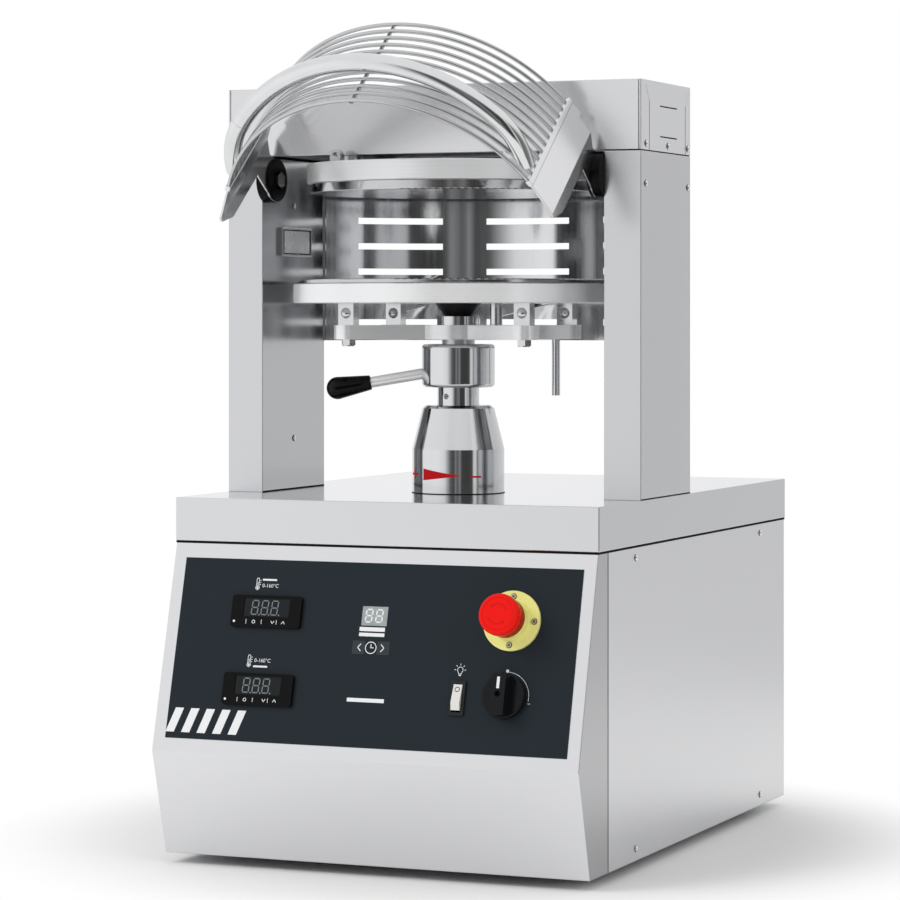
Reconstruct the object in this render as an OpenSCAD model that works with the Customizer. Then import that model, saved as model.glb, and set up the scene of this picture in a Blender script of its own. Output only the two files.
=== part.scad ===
// Heated dough press: a steel base with a sloped control panel, two columns and a head,
// a fixed upper platen, a lower platen lifted by a cam, and a swing-up wire guard.

/* [Base] */
// Width of the lid across the front
lid_w = 450; // [440:1:500]
// Depth of the lid from front to back
lid_d = 597; // [580:1:660]
// Height of the lid's top above the lower edge of the panels
body_h = 351; // [340:1:380]
// Height of the lid's folded skirt
skirt_h = 43; // [30:1:55]
// Thickness of the panel sheet
sheet = 1.5; // [1:0.1:2]
// How far the panels stand in from the lid's skirt
panel_inset = 1; // [0.5:0.1:2]
// Shadow gap under the lid's skirt
skirt_gap = 1; // [0.5:0.1:3]
// Height of the rubber feet
foot_h = 10; // [6:1:20]
// Diameter of the rubber feet
foot_d = 40; // [30:1:50]
// Distance of the feet from the sides and ends of the base
foot_inset = 75; // [60:1:110]
// Width of the frame's square tubes
tube_w = 25; // [20:1:30]

/* [Control panel] */
// How far the crease stands ahead of the lid
crease_out = 53; // [40:1:65]
// Height of the crease above the lower edge
crease_h = 105; // [90:1:125]
// How far the lower front edge stands ahead of the lid
toe_out = 23; // [10:1:35]
// Depth of the fascia's side wraps behind the lid's front
wrap_d = 27; // [20:1:40]
// Distance of the printed overlay from the fascia's sides
overlay_side = 13; // [8:1:24]
// Distance of the overlay from the panel's top
overlay_down = 16; // [10:1:24]
// Distance of the overlay from the crease
overlay_up = 13; // [8:1:18]
// Thickness of the printed overlay
overlay_t = 0.8; // [0.5:0.1:1.2]
// Width of a temperature controller's bezel
ctrl_w = 75; // [70:1:80]
// Height of a temperature controller's bezel
ctrl_h = 31.5; // [28:0.5:36]
// Place of the controllers left of the middle, as a share of the half width
ctrl_side_share = 0.5134; // [0.45:0.0001:0.65]
// Place of the upper controller, as a share of the slope
ctrl_up_share = 0.6743; // [0.62:0.0001:0.76]
// Place of the lower controller, as a share of the slope
ctrl_low_share = 0.3061; // [0.25:0.0001:0.42]
// Width of the timer display
timer_w = 27; // [24:1:34]
// Height of the timer display
timer_h = 19; // [16:1:24]
// Diameter of the emergency stop's collar
estop_ring_d = 58; // [54:1:70]
// Diameter of the emergency stop's cap
estop_cap_d = 40; // [32:1:44]
// Height of the emergency stop's cap above the panel
estop_out = 40; // [36:1:48]
// Place of the emergency stop and the selector right of the middle, as a share of the half width
dial_side_share = 0.6406; // [0.6:0.0001:0.7]
// Place of the emergency stop, as a share of the slope
estop_share = 0.675; // [0.64:0.0001:0.72]
// Place of the selector knob, as a share of the slope
knob_share = 0.3276; // [0.26:0.0001:0.38]
// Diameter of the selector knob
knob_d = 43; // [36:1:46]
// Width of the rocker switch's frame
rocker_w = 15.5; // [13:0.5:18]
// Height of the rocker switch's frame
rocker_h = 33.5; // [30:0.5:38]
// Place of the rocker switch right of the middle, as a share of the half width
rocker_side_share = 0.4241; // [0.32:0.0001:0.46]

/* [Columns and head] */
// Distance of the press axis ahead of the lid's centre
press_fwd = 105; // [90:1:120]
// Width of a column seen from the front
column_w = 38.5; // [34:0.5:42]
// Depth of a column from front to back
column_d = 150; // [130:1:170]
// Wall of the columns
column_wall = 4; // [3:0.5:6]
// Height of the head
head_h = 69; // [60:1:90]
// Thickness of the head's beam
beam_t = 30; // [20:1:40]
// How far the rear guard stands in from the columns' rear corners
rear_guard_in = 1; // [0.5:0.5:8]
// Height of the rear guard
rear_guard_h = 190; // [180:1:220]
// Angle that each slot in the rear guard goes round
slot_angle = 27.7; // [24:0.1:30]
// Height of the slots in the rear guard
slot_h = 6.7; // [5:0.1:9]
// Distance between the slots in the rear guard
slot_pitch = 27.3; // [22:0.1:32]

/* [Platens] */
// Gap between the lower platen's rim and the columns
platen_gap = 17.5; // [14:0.5:30]
// Thickness of the lower platen
platen_t = 19.3; // [16:0.1:24]
// Thickness of the lower pressing plate
press_t = 4.6; // [4:0.1:8]
// How far the lower pressing plate stands in from the platen's rim
press_inset = 5.5; // [3:0.5:12]
// How far the upper platen stands in from the lower platen's rim
upper_inset = 14; // [6:1:24]
// Thickness of the upper platen
upper_t = 20; // [18:1:30]
// How far the upper pressing plate stands in from its platen's rim
upper_press_inset = 3.5; // [2:0.5:10]
// Thickness of the upper pressing plate
upper_press_t = 10; // [8:0.5:14]
// Open height between the pressing plates at rest
daylight = 88; // [80:1:100]
// Gap that stays between the pressing plates at the top of the stroke
dough_gap = 2; // [1.5:0.1:4]
// Gap between the upper platen and the head's beam
hanger_h = 8.8; // [3:0.1:12]
// Height of the stand-offs under the lower platen
standoff_h = 22.5; // [18:0.5:28]
// Thickness of the carrier's arms
carrier_t = 14.5; // [12:0.5:18]
// How far the carrier's bolts stand in from the lower platen's rim
bolt_inset = 55.5; // [45:0.5:70]
// Width of the carrier's arms
arm_w = 30; // [24:1:34]
// Angle of the carrier's arms from the left-right line
arm_angle = 32; // [26:1:40]

/* [Lift] */
// Diameter of the piston
piston_d = 43; // [36:1:44]
// Diameter of the piston's housing
housing_d = 94.5; // [84:0.5:100]
// Diameter at the top of the housing's cone
housing_top_d = 71; // [62:1:76]
// Height of the housing's straight part
housing_cyl_h = 45; // [30:0.5:50]
// Height of the housing's cone
housing_cone_h = 44.5; // [36:0.5:56]
// Length of piston seen between the housing and the drum
neck_h = 18.5; // [14:0.5:26]
// Diameter of the adjusting drum
drum_d = 75; // [66:1:82]
// Height of the adjusting drum
drum_h = 44; // [38:1:52]
// Gap between the adjusting drum and the carrier
carrier_gap = 5; // [4:0.5:8]
// Diameter of the lever's rod
lever_d = 8.7; // [7:0.1:10]
// Distance from the drum's axis to the end of the lever's knob
lever_reach = 137; // [125:1:150]
// Length of the lever's knob
lever_knob_l = 46; // [38:1:54]
// Slope of the lever below the level line
lever_slope = 9.6; // [0:0.1:12]
// Direction of the lever, turned from the right
lever_azimuth = 202.7; // [190:0.1:215]
// Radius of the follower's roller
roller_r = 18; // [15:0.5:18]
// Distance from the cam's axis to the roller's axis at rest
cam_low = 52; // [48:1:60]
// Turn of the cam for the whole stroke
cam_angle = 300; // [280:1:305]
// Height of the cam's axis above the lower edge of the panels
cam_axis_h = 135; // [128:1:140]

/* [Guard] */
// Number of bars in the guard
bar_count = 12; // [10:1:13]
// Distance between the guard's bars
bar_pitch = 11.7; // [10:0.1:12]
// Diameter of the guard's bars
bar_d = 4; // [3:0.1:5]
// Half of the angle that the bars go round
bar_half_angle = 63.5; // [58:0.5:68]
// Sideways run of each cheek from the bars to its pivot flange
cheek_run = 17.6; // [14:0.1:22]
// Thickness of the cheeks
cheek_t = 2; // [1.5:0.1:3]
// Angle of the open guard above its closed place
open_angle = 51.6; // [40:0.1:54]
// Distance of the pivots behind the columns' front
pivot_in = 8; // [7:0.5:12]
// Distance of the pivots below the head
pivot_down = 24.5; // [23.5:0.5:30]
// Diameter of the friction discs at the pivots
disc_d = 46; // [36:1:46]
// Diameter of the handle's tube
handle_d = 18; // [14:1:20]
// Wall of the handle's tube
handle_wall = 2; // [1.5:0.1:3]
// Reach of the handle ahead of its ends, as a share of its half width
handle_reach_share = 0.748; // [0.7:0.001:0.8]
// Tilt of the handle against the bars
handle_angle = 6.8; // [4:0.1:10]
// Radius of the handle's two corners, as a share of its half width
handle_corner_share = 0.52; // [0.4:0.01:0.58]

/* [Hidden] */
$fn = 64;
// Clearances: between moving parts, of a shaft in its bore, and of a seated part in its hole
move_gap = 0.3;
run_gap = 0.05;
seat_gap = 0.1;

// Base panels
half_w = lid_w / 2;
half_d = lid_d / 2;
side_x = half_w - panel_inset;
rear_y = half_d - panel_inset;
panel_top = body_h - skirt_h - skirt_gap;
fascia_top_y = -half_d + panel_inset;
crease_y = -half_d - crease_out;
toe_y = -half_d - toe_out;
seam_y = -half_d + wrap_d;
panel_tilt = atan2(fascia_top_y - crease_y, panel_top - crease_h);
slope_l = norm([fascia_top_y - crease_y, panel_top - crease_h]);
overlay_w = 2 * (side_x - overlay_side);
overlay_h = slope_l - overlay_up - overlay_down;
ctrl_left = ctrl_side_share * side_x;
ctrl_up_s = ctrl_up_share * slope_l;
ctrl_low_s = ctrl_low_share * slope_l;
dial_right = dial_side_share * side_x;
estop_s = estop_share * slope_l;
knob_s = knob_share * slope_l;
rocker_right = rocker_side_share * side_x;
frame_x = side_x - sheet;
frame_y0 = seam_y + 1;
frame_y1 = rear_y - sheet;
frame_top = body_h - sheet;
floor_t = 3;

// Columns, platens and lift, from the lid upwards
press_y = -press_fwd;
column_x = half_w - column_w;
column_y0 = press_y - column_d / 2;
column_y1 = press_y + column_d / 2;
platen_d = 2 * (column_x - platen_gap);
press_d = platen_d - 2 * press_inset;
upper_d = platen_d - 2 * upper_inset;
upper_press_d = upper_d - 2 * upper_press_inset;
housing_top = body_h + housing_cyl_h + housing_cone_h;
drum_z = housing_top + neck_h;
carrier_z = drum_z + drum_h + carrier_gap;
platen_z = carrier_z + carrier_t + standoff_h;
press_z = platen_z + platen_t;
upper_press_z = press_z + press_t + daylight;
upper_z = upper_press_z + upper_press_t;
head_z = upper_z + upper_t + hanger_h;
stroke = daylight - dough_gap;
piston_r = piston_d / 2;
spigot_r = piston_r - 6.5;
spigot_h = drum_h / 2 - 2;
stem_r = spigot_r + 2;
stem_gap = 4;

// Lifting cam: its low place lies straight above its axis at rest
cam_t = 16;
cam_shaft_r = 12;
fork_gap = 20;
roller_w = fork_gap - 2 * move_gap;
pin_r = 6;
roller_z = cam_axis_h + cam_low;
dwell_angle = 10;
step_angle = 5;
bush_r = piston_r + 5.5;
bush_z = roller_z + roller_r + 10 + stroke + 4;

// Guard, in its closed place with the pivot as its origin
flange_x = column_x - 9.5 - cheek_t / 2;
bar_end_x = flange_x - cheek_run;
guard_r = bar_end_x / sin(bar_half_angle);
arc_fwd = 1;
top_bar_up = 11;
strip_l = 6;
strip_t = 5;
pivot_r = 5;
pivot_head_r = 9;
pivot_head_h = 6;
pivot_y = column_y0 + pivot_in;
pivot_z = head_z - pivot_down;
lug_r = min(disc_d / 2 - 1, pivot_down - 1.5);
bars_h = (bar_count - 1) * bar_pitch;
handle_half = bar_end_x - 4.6;
handle_reach = handle_reach_share * handle_half;
handle_corner_r = handle_corner_share * handle_half;
handle_back = sqrt(guard_r * guard_r - handle_half * handle_half);
handle_low = bars_h - bar_pitch * 1.15;
handle_fall = top_bar_up - handle_low + handle_reach * sin(handle_angle);
handle_fwd = arc_fwd + handle_back + handle_reach * cos(handle_angle);

// The part's frame: the middle of the whole press's floor plan, at the foot of the feet
gland_out = 18;
front_y = pivot_y - handle_fwd * cos(open_angle) + handle_fall * sin(open_angle) - handle_d / 2;
back_y = rear_y + gland_out;
lid_cy = -(front_y + back_y) / 2;

steel = "#c9cbce";
bright = "#dcdfe2";
aluminium = "#d4d6d8";
black = "#1d1f21";
dark = "#2b3238";

// Places a piece that is drawn from the lid's centre and the panels' lower edge
module on_base() {
    translate([0, lid_cy, foot_h]) children();
}

// Places a piece on the press axis
module on_axis(z = 0) {
    on_base() translate([0, press_y, z]) children();
}

// Places a piece on the sloped panel: x across, y up the slope from the crease, z out of the face
module on_panel(x = 0, s = 0, out = 0) {
    on_base() translate([0, crease_y, crease_h]) rotate([90 - panel_tilt, 0, 0])
        translate([x, s, out]) children();
}

// Places a piece of the guard, drawn closed with its pivot at the origin, in the open guard
module in_guard() {
    on_base() translate([0, pivot_y, pivot_z]) rotate([-open_angle, 0, 0]) children();
}

// A box from one corner to another
module span(low, high) {
    translate(low) cube(high - low);
}

// A rod along the x axis
module rod_x(r, x0, x1) {
    translate([x0, 0, 0]) rotate([0, 90, 0]) cylinder(r = r, h = x1 - x0);
}

// A rod along the y axis
module rod_y(r, y0, y1) {
    translate([0, y0, 0]) rotate([-90, 0, 0]) cylinder(r = r, h = y1 - y0);
}

// A rectangle with rounded corners, centred
module round_rect(w, h, r) {
    square([w - 2 * r, h], center = true);
    square([w, h - 2 * r], center = true);
    for (x = [-1, 1], y = [-1, 1])
        translate([x * (w / 2 - r), y * (h / 2 - r)]) circle(r);
}

// A turned disc with rounded rims
module turned_disc(r, h, rim) {
    rotate_extrude() {
        square([r - rim, h]);
        translate([0, rim]) square([r, h - 2 * rim]);
        for (z = [rim, h - rim])
            translate([r - rim, z]) circle(rim);
    }
}

// The corner of a line that runs beside three points at a distance to their left
function beside(a, b, c, t) =
    let (u = (b - a) / norm(b - a), v = (c - b) / norm(c - b),
         n = [-u[1], u[0]], m = [-v[1], v[0]])
    b + (n + m) * t / (1 + n * m);

// A point beside the end of a line
function beside_end(p, q, t) =
    let (u = (q - p) / norm(q - p))
    [-u[1], u[0]] * t;

// A folded sheet's section: the points of one face and those of the other
function folded(p, t) =
    let (last = len(p) - 1)
    concat(p, [for (i = [last:-1:0])
        i == 0 ? p[0] + beside_end(p[0], p[1], t)
        : i == last ? p[last] + beside_end(p[last - 1], p[last], t)
        : beside(p[i - 1], p[i], p[i + 1], t)]);

module base_frame() {
    color("#8f9397") on_base() difference() {
        union() {
            span([-frame_x, toe_y + 2 * sheet, 0], [frame_x, frame_y1, floor_t]);
            for (x = [-frame_x, frame_x - tube_w], y = [frame_y0, frame_y1 - tube_w])
                span([x, y, 0], [x + tube_w, y + tube_w, frame_top]);
            for (x = [-frame_x, frame_x - tube_w])
                span([x, frame_y0, frame_top - tube_w], [x + tube_w, frame_y1, frame_top]);
            for (y = [frame_y0, frame_y1 - tube_w])
                span([-frame_x, y, frame_top - tube_w], [frame_x, y + tube_w, frame_top]);
            for (y = [column_y0, column_y1 - tube_w])
                span([-frame_x, y, frame_top - tube_w], [frame_x, y + tube_w, frame_top]);
        }
        side_screws(screw_r + seat_gap);
    }
}

// The fascia's outer side profile, without the back edge
function fascia_face() = [[fascia_top_y, panel_top], [crease_y, crease_h], [toe_y, 0]];

// A plate standing across the part with the fascia's side outline
module fascia_side(x) {
    translate([x, 0, 0]) rotate([90, 0, 90]) linear_extrude(sheet)
        polygon(concat(fascia_face(), [[seam_y, 0], [seam_y, panel_top]]));
}

module front_fascia() {
    color(steel) difference() {
        on_base() union() {
            rotate([90, 0, 90]) translate([0, 0, -side_x]) linear_extrude(2 * side_x)
                polygon(folded(fascia_face(), sheet));
            fascia_side(-side_x);
            fascia_side(side_x - sheet);
        }
        panel_holes(sheet + 2);
    }
}

// Openings in the sloped panel for everything that passes through it
module panel_holes(depth) {
    for (s = [ctrl_up_s, ctrl_low_s])
        on_panel(-ctrl_left, s, -depth) linear_extrude(2 * depth)
            square([ctrl_w - 2 * (ctrl_lip - seat_gap), ctrl_h - 2 * (ctrl_lip - seat_gap)], center = true);
    on_panel(0, ctrl_up_s, -depth) linear_extrude(2 * depth)
        square([timer_w + 2 * seat_gap, timer_h + 2 * seat_gap], center = true);
    on_panel(dial_right, estop_s, -depth) cylinder(r = estop_neck_r + seat_gap, h = 2 * depth);
    on_panel(dial_right, knob_s, -depth) cylinder(r = knob_shaft_r + run_gap, h = 2 * depth);
    on_panel(rocker_right, rocker_s, -depth) linear_extrude(2 * depth)
        square([rocker_w - 2 + 2 * seat_gap, rocker_h - 2 + 2 * seat_gap], center = true);
}

module panel_overlay() {
    color(dark) difference() {
        on_panel(0, overlay_up + overlay_h / 2) linear_extrude(overlay_t)
            square([overlay_w, overlay_h], center = true);
        panel_holes(overlay_t + 2);
    }
}

module side_panel() {
    difference() {
        span([side_x - sheet, seam_y + 0.5, 0], [side_x, rear_y, panel_top]);
        side_screws(screw_r + seat_gap);
    }
}

module left_side_panel() {
    color(steel) on_base() mirror([1, 0, 0]) side_panel();
}

module right_side_panel() {
    color(steel) on_base() side_panel();
}

// Dome screws: radius of the shank and of the head, and the height of the head
screw_r = 2;
dome_r = 3.6;
dome_h = 2;
side_screw_y = [seam_y + 79, rear_y - 88];
side_screw_z = [12, panel_top - 11];

// Shanks of the side panels' screws, drawn at a given radius
module side_screws(r) {
    for (x = [0, 1], y = side_screw_y, z = side_screw_z)
        mirror([x, 0, 0]) translate([0, y, z]) rod_x(r, side_x - sheet - 8, side_x);
}

// A dome head of a given radius and height, pointing along the x axis
module dome_head(r, h) {
    ball_r = (r * r + h * h) / (2 * h);
    rotate([0, 90, 0]) rotate_extrude()
        intersection() {
            translate([0, h - ball_r]) circle(ball_r);
            square([r, h]);
        }
}

// A dome head on a shank, pointing along the x axis
module dome_screw(grip) {
    rod_x(screw_r, -grip, 0);
    dome_head(dome_r, dome_h);
}

module rear_panel() {
    color(steel) on_base() difference() {
        span([-frame_x, rear_y - sheet, 0], [frame_x, rear_y, panel_top]);
        for (x = [-70, 70], k = [0:5])
            translate([x, rear_y, panel_top - 60 - k * 14]) rotate([90, 0, 0])
                linear_extrude(3 * sheet, center = true) round_rect(90, 6, 2.9);
        translate([gland_x, 0, gland_z]) rod_y(gland_r + seat_gap, rear_y - 3 * sheet, rear_y + 1);
    }
}

gland_r = 8;
gland_x = -frame_x + 60;
gland_z = 60;

module cable_gland() {
    color(black) on_base() translate([gland_x, 0, gland_z]) difference() {
        union() {
            rod_y(gland_r, rear_y - 14, rear_y);
            translate([0, rear_y, 0]) rotate([-90, 0, 0]) cylinder(r = 13, h = 6, $fn = 6);
            rod_y(10.5, rear_y + 6, rear_y + gland_out);
            translate([0, rear_y - sheet - 5, 0]) rotate([-90, 0, 0]) cylinder(r = 13, h = 5, $fn = 6);
        }
        rod_y(5, rear_y - 20, rear_y + gland_out + 1);
    }
}

module top_lid() {
    color(bright) on_base() difference() {
        span([-half_w, -half_d, body_h - skirt_h], [half_w, half_d, body_h]);
        span([-half_w + sheet, -half_d + sheet, body_h - skirt_h - 1],
             [half_w - sheet, half_d - sheet, frame_top]);
        translate([0, press_y, frame_top - 1]) cylinder(r = bush_r + 8 + seat_gap, h = sheet + 2);
    }
}

module rubber_feet() {
    color(black) on_base()
        for (x = [-1, 1], y = [toe_y + foot_inset, rear_y - foot_inset])
            translate([x * (side_x - foot_inset), y, -foot_h]) rotate_extrude()
                polygon([[0, 0], [foot_d / 2 - 2, 0], [foot_d / 2, 2], [foot_d / 2 - 4, foot_h],
                         [0, foot_h]]);
}

// A hollow column at the right, drawn from its inner wall outwards
module column() {
    difference() {
        union() {
            span([column_x, column_y0, body_h], [half_w, column_y1, head_z - seam_h]);
            span([column_x + seam_h, column_y0 + seam_h, body_h],
                 [half_w - seam_h, column_y1 - seam_h, head_z]);
        }
        span([column_x + column_wall, column_y0 + column_wall, body_h - 1],
             [half_w - column_wall, column_y1 - column_wall, head_z + 1]);
        translate([0, pivot_y, pivot_z]) rod_x(pivot_r + seat_gap, column_x - 1, column_x + column_wall + 1);
        column_screws(screw_r + seat_gap);
    }
}

column_screw_z = head_z - 33.2;
seam_h = 1.2;

inner_screw_z = [body_h + 53, head_z - 49];

// Shanks of the screws in the columns' outer and inner walls
module column_screws(r) {
    for (y = [column_y0 + 14, column_y1 - 7.5])
        translate([0, y, column_screw_z]) rod_x(r, half_w - column_wall - 4, half_w);
    for (z = inner_screw_z)
        translate([0, press_y, z]) rod_x(r, column_x, column_x + column_wall + 4);
}

module left_column() {
    color(steel) on_base() difference() {
        mirror([1, 0, 0]) column();
        translate([-column_x, press_y, lamp_z])
            cube([3 * column_wall, lamp_l - 8, lamp_h - 8], center = true);
    }
}

module right_column() {
    color(steel) on_base() column();
}

// Inside lamp: its place on the left column's inner wall, and its sizes
lamp_l = 71;
lamp_h = 30;
lamp_z = upper_press_z - 48;
lamp_out = 4;

module lamp_housing() {
    color(steel) on_base() translate([-column_x, press_y, lamp_z]) difference() {
        union() {
            span([0, -lamp_l / 2, -lamp_h / 2], [lamp_out, lamp_l / 2, lamp_h / 2]);
            span([-20, -lamp_l / 2 + 4 + seat_gap, -lamp_h / 2 + 4 + seat_gap],
                 [0, lamp_l / 2 - 4 - seat_gap, lamp_h / 2 - 4 - seat_gap]);
        }
        span([-16, -lamp_l / 2 + 6, -lamp_h / 2 + 6], [lamp_out + 1, lamp_l / 2 - 6, lamp_h / 2 - 6]);
        span([lamp_out - 2, -lamp_l / 2 + 3, -lamp_h / 2 + 3],
             [lamp_out + 1, lamp_l / 2 - 3, lamp_h / 2 - 3]);
    }
}

module lamp_glass() {
    color("#e8eef0") on_base() translate([-column_x, press_y, lamp_z])
        span([lamp_out - 2, -lamp_l / 2 + 3 + seat_gap, -lamp_h / 2 + 3 + seat_gap],
             [lamp_out - 0.5, lamp_l / 2 - 3 - seat_gap, lamp_h / 2 - 3 - seat_gap]);
}

// Head: a beam on the columns, under a folded cover with a cap at each end
cap_t = 2;

module head_beam() {
    color("#9a9da1") on_base()
        span([-half_w + cap_t + 6, column_y0 + 4, head_z + sheet],
             [half_w - cap_t - 6, column_y1 - 4, head_z + beam_t]);
}

module head_cover() {
    color(steel) on_base() rotate([90, 0, 90]) translate([0, 0, -half_w + cap_t])
        linear_extrude(2 * (half_w - cap_t))
            polygon(folded([[column_y1 - 12, head_z], [column_y1, head_z], [column_y1, head_z + head_h],
                            [column_y0, head_z + head_h], [column_y0, head_z],
                            [column_y0 + 12, head_z]], sheet));
}

// The screws along the lower edge of a head cap
cap_screw_y = [column_y0 + 15, press_y + 6, column_y1 - 8];
cap_screw_z = head_z + 6.3;
cap_slit_h = 1.3;
cap_slit_l = 52;

// The edge of the fold at the front or the back of a cap, slanted at its top corner
module cap_groove(edge_y, corner_y) {
    slant_z = head_z + head_h - 20;
    translate([half_w - cap_groove_w, 0, 0]) rotate([90, 0, 90]) linear_extrude(2 * cap_groove_w)
        polygon([[edge_y, head_z - 1], [edge_y + cap_groove_w, head_z - 1], [edge_y + cap_groove_w, slant_z],
                 [corner_y + cap_groove_w, head_z + head_h - 5], [corner_y, head_z + head_h - 5],
                 [edge_y, slant_z]]);
}

cap_groove_w = 1.2;

module head_end_caps() {
    color(steel) on_base() for (side = [0, 1]) mirror([side, 0, 0]) difference() {
        union() {
            span([half_w - cap_t, column_y0, head_z], [half_w, column_y1, head_z + head_h]);
            span([half_w - cap_t - 16, column_y0 + 20, head_z + beam_t],
                 [half_w, column_y1 - 20, head_z + beam_t + 2]);
        }
        cap_groove(column_y0 + 24, column_y0 + 13);
        cap_groove(column_y1 - 16, column_y1 - 6);
        for (z = [head_z + 14.7, head_z + 45])
            translate([half_w, press_y + 8, z]) cube([4 * cap_t, cap_slit_l, cap_slit_h], center = true);
        for (y = cap_screw_y)
            translate([0, y, cap_screw_z]) rod_x(screw_r + seat_gap, half_w - cap_t - 1, half_w + 1);
    }
}

module panel_screws() {
    color(bright) on_base() for (side = [0, 1]) mirror([side, 0, 0]) {
        for (y = side_screw_y, z = side_screw_z)
            translate([side_x, y, z]) dome_screw(sheet + 6);
        for (y = [column_y0 + 14, column_y1 - 7.5])
            translate([half_w, y, column_screw_z]) dome_screw(column_wall + 2);
        for (z = inner_screw_z)
            translate([column_x, press_y, z]) mirror([1, 0, 0]) dome_screw(column_wall + 2);
        for (y = cap_screw_y)
            translate([half_w, y, cap_screw_z]) dome_screw(cap_t);
    }
}

// Rear guard: a curved sheet round the back of the platens, flanged to the columns' rear faces
rear_guard_r = norm([column_x, column_d / 2]) - rear_guard_in;
rear_flange = 18;
slot_turn_angle = 41.2;
slot_up = 19.2;

module back_guard() {
    low = head_z - rear_guard_h;
    end_y = column_d / 2;
    end_x = sqrt(rear_guard_r * rear_guard_r - end_y * end_y);
    color(bright) on_axis(low) difference() {
        union() {
            difference() {
                cylinder(r = rear_guard_r + sheet, h = rear_guard_h);
                translate([0, 0, -1]) cylinder(r = rear_guard_r, h = rear_guard_h + 2);
                translate([-rear_guard_r - 5, -rear_guard_r - 5, -1])
                    cube([2 * rear_guard_r + 10, rear_guard_r + 5 + end_y, rear_guard_h + 2]);
            }
            for (side = [0, 1]) mirror([side, 0, 0])
                span([end_x - 0.4 * sheet, end_y, 0], [column_x + rear_flange, end_y + sheet, rear_guard_h]);
        }
        for (k = [0:4], turn = [-slot_turn_angle, 0, slot_turn_angle])
            rotate(turn) translate([0, rear_guard_r, slot_up + k * slot_pitch])
                cube([2 * rear_guard_r * sin(slot_angle / 2), 40, slot_h], center = true);
    }
}

// Heater rings: their middle radius and section
heater_in = 69;
heater_r = platen_d / 2 - heater_in;
heater_w = 16;
heater_t = 7;

// A ring groove for a heater, drawn with extra room
module heater_ring(room) {
    rotate_extrude() translate([heater_r - heater_w / 2 - room, 0])
        square([heater_w + 2 * room, heater_t + room]);
}

module upper_platen() {
    color(aluminium) on_axis(upper_z) difference() {
        turned_disc(upper_d / 2, upper_t, 1.5);
        translate([0, 0, -0.01]) heater_ring(seat_gap);
        for (x = [-lug_x, lug_x], y = [-lug_y, lug_y])
            translate([x, y, upper_t - 8]) cylinder(r = screw_r + seat_gap, h = 9);
    }
}

module upper_press_plate() {
    color(bright) on_axis(upper_press_z) turned_disc(upper_press_d / 2, upper_press_t, 1);
}

module upper_heater() {
    color("#8a6f5a") on_axis(upper_z) heater_ring(0);
}

lug_in = 22;
lug_ahead = 19;
lug_y = column_d / 2 + lug_ahead;
lug_x = sqrt(pow(upper_d / 2 - lug_in, 2) - lug_y * lug_y);
spacer_in = 55;
spacer_x = upper_d / 2 - spacer_in;
spacer_y = column_d / 2 - spacer_in * 0.55;
spacer_r = 12;
lug_r_top = 6;
lug_t = 8;
lug_hole_r = 2.5;

// Spacers under the beam, and four upright lugs screwed to the platen's top
module upper_platen_mounts() {
    color(steel) on_axis(upper_z + upper_t) {
        for (x = [-1, 1], y = [-1, 1])
            translate([x * spacer_x, y * spacer_y, 0]) cylinder(r = spacer_r, h = hanger_h + sheet);
        for (x = [-lug_x, lug_x], y = [-lug_y, lug_y]) translate([x, y, 0]) {
            translate([0, 0, -6]) cylinder(r = screw_r, h = 8);
            difference() {
                union() {
                    span([-lug_r_top, -lug_t / 2, 0], [lug_r_top, lug_t / 2, lug_t]);
                    translate([0, 0, lug_t]) rod_y(lug_r_top, -lug_t / 2, lug_t / 2);
                }
                translate([0, 0, lug_t]) rod_y(lug_hole_r, -lug_t, lug_t);
            }
        }
    }
}

module piston_housing() {
    color(bright) on_axis() difference() {
        rotate_extrude() polygon([
            [0, bush_z], [bush_r + 8, bush_z], [bush_r + 8, body_h], [housing_d / 2, body_h],
            [housing_d / 2, body_h + housing_cyl_h], [housing_top_d / 2 + 1.5, housing_top - 3],
            [housing_top_d / 2 - 2, housing_top], [0, housing_top]]);
        translate([0, 0, bush_z - 1]) cylinder(r = bush_r + run_gap, h = housing_top - 6 - bush_z + 1);
        cylinder(r = piston_r + 1, h = housing_top + 1);
    }
}

module guide_bush() {
    color("#b08d57") on_axis(bush_z) difference() {
        cylinder(r = bush_r, h = housing_top - 6.1 - bush_z);
        translate([0, 0, -1]) cylinder(r = piston_r + run_gap, h = housing_top);
    }
}

// Piston: a round bar with a forked foot for the roller and a spigot for the drum
module piston() {
    fork_z = roller_z - 9;
    color(bright) on_axis() difference() {
        union() {
            translate([0, 0, fork_z]) cylinder(r = piston_r, h = drum_z - fork_z - 0.2);
            cylinder(r = spigot_r, h = drum_z + spigot_h);
        }
        cylinder(r = piston_r + 1, h = fork_z);
        span([-piston_r - 1, -fork_gap / 2, fork_z - 1],
             [piston_r + 1, fork_gap / 2, roller_z + roller_r + 1.5]);
        translate([0, 0, roller_z]) rod_y(pin_r + seat_gap / 2, -piston_r, piston_r);
        translate([0, 0, housing_top + neck_h / 2]) rotate(-lever_azimuth + 100)
            rod_x(3, piston_r - 5, piston_r + 1);
    }
}

module follower_pin() {
    color(bright) on_axis(roller_z) rod_y(pin_r, -piston_r + 3, piston_r - 3);
}

module follower_roller() {
    color("#b9bcc0") on_axis(roller_z) difference() {
        rod_y(roller_r, -roller_w / 2, roller_w / 2);
        rod_y(pin_r + run_gap, -roller_w, roller_w);
    }
}

// The roller's path round the cam at rest, by the turn that brings it under the roller
function roller_path_r(turn) = cam_low + stroke * min(max(turn, 0), cam_angle) / cam_angle;

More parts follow.
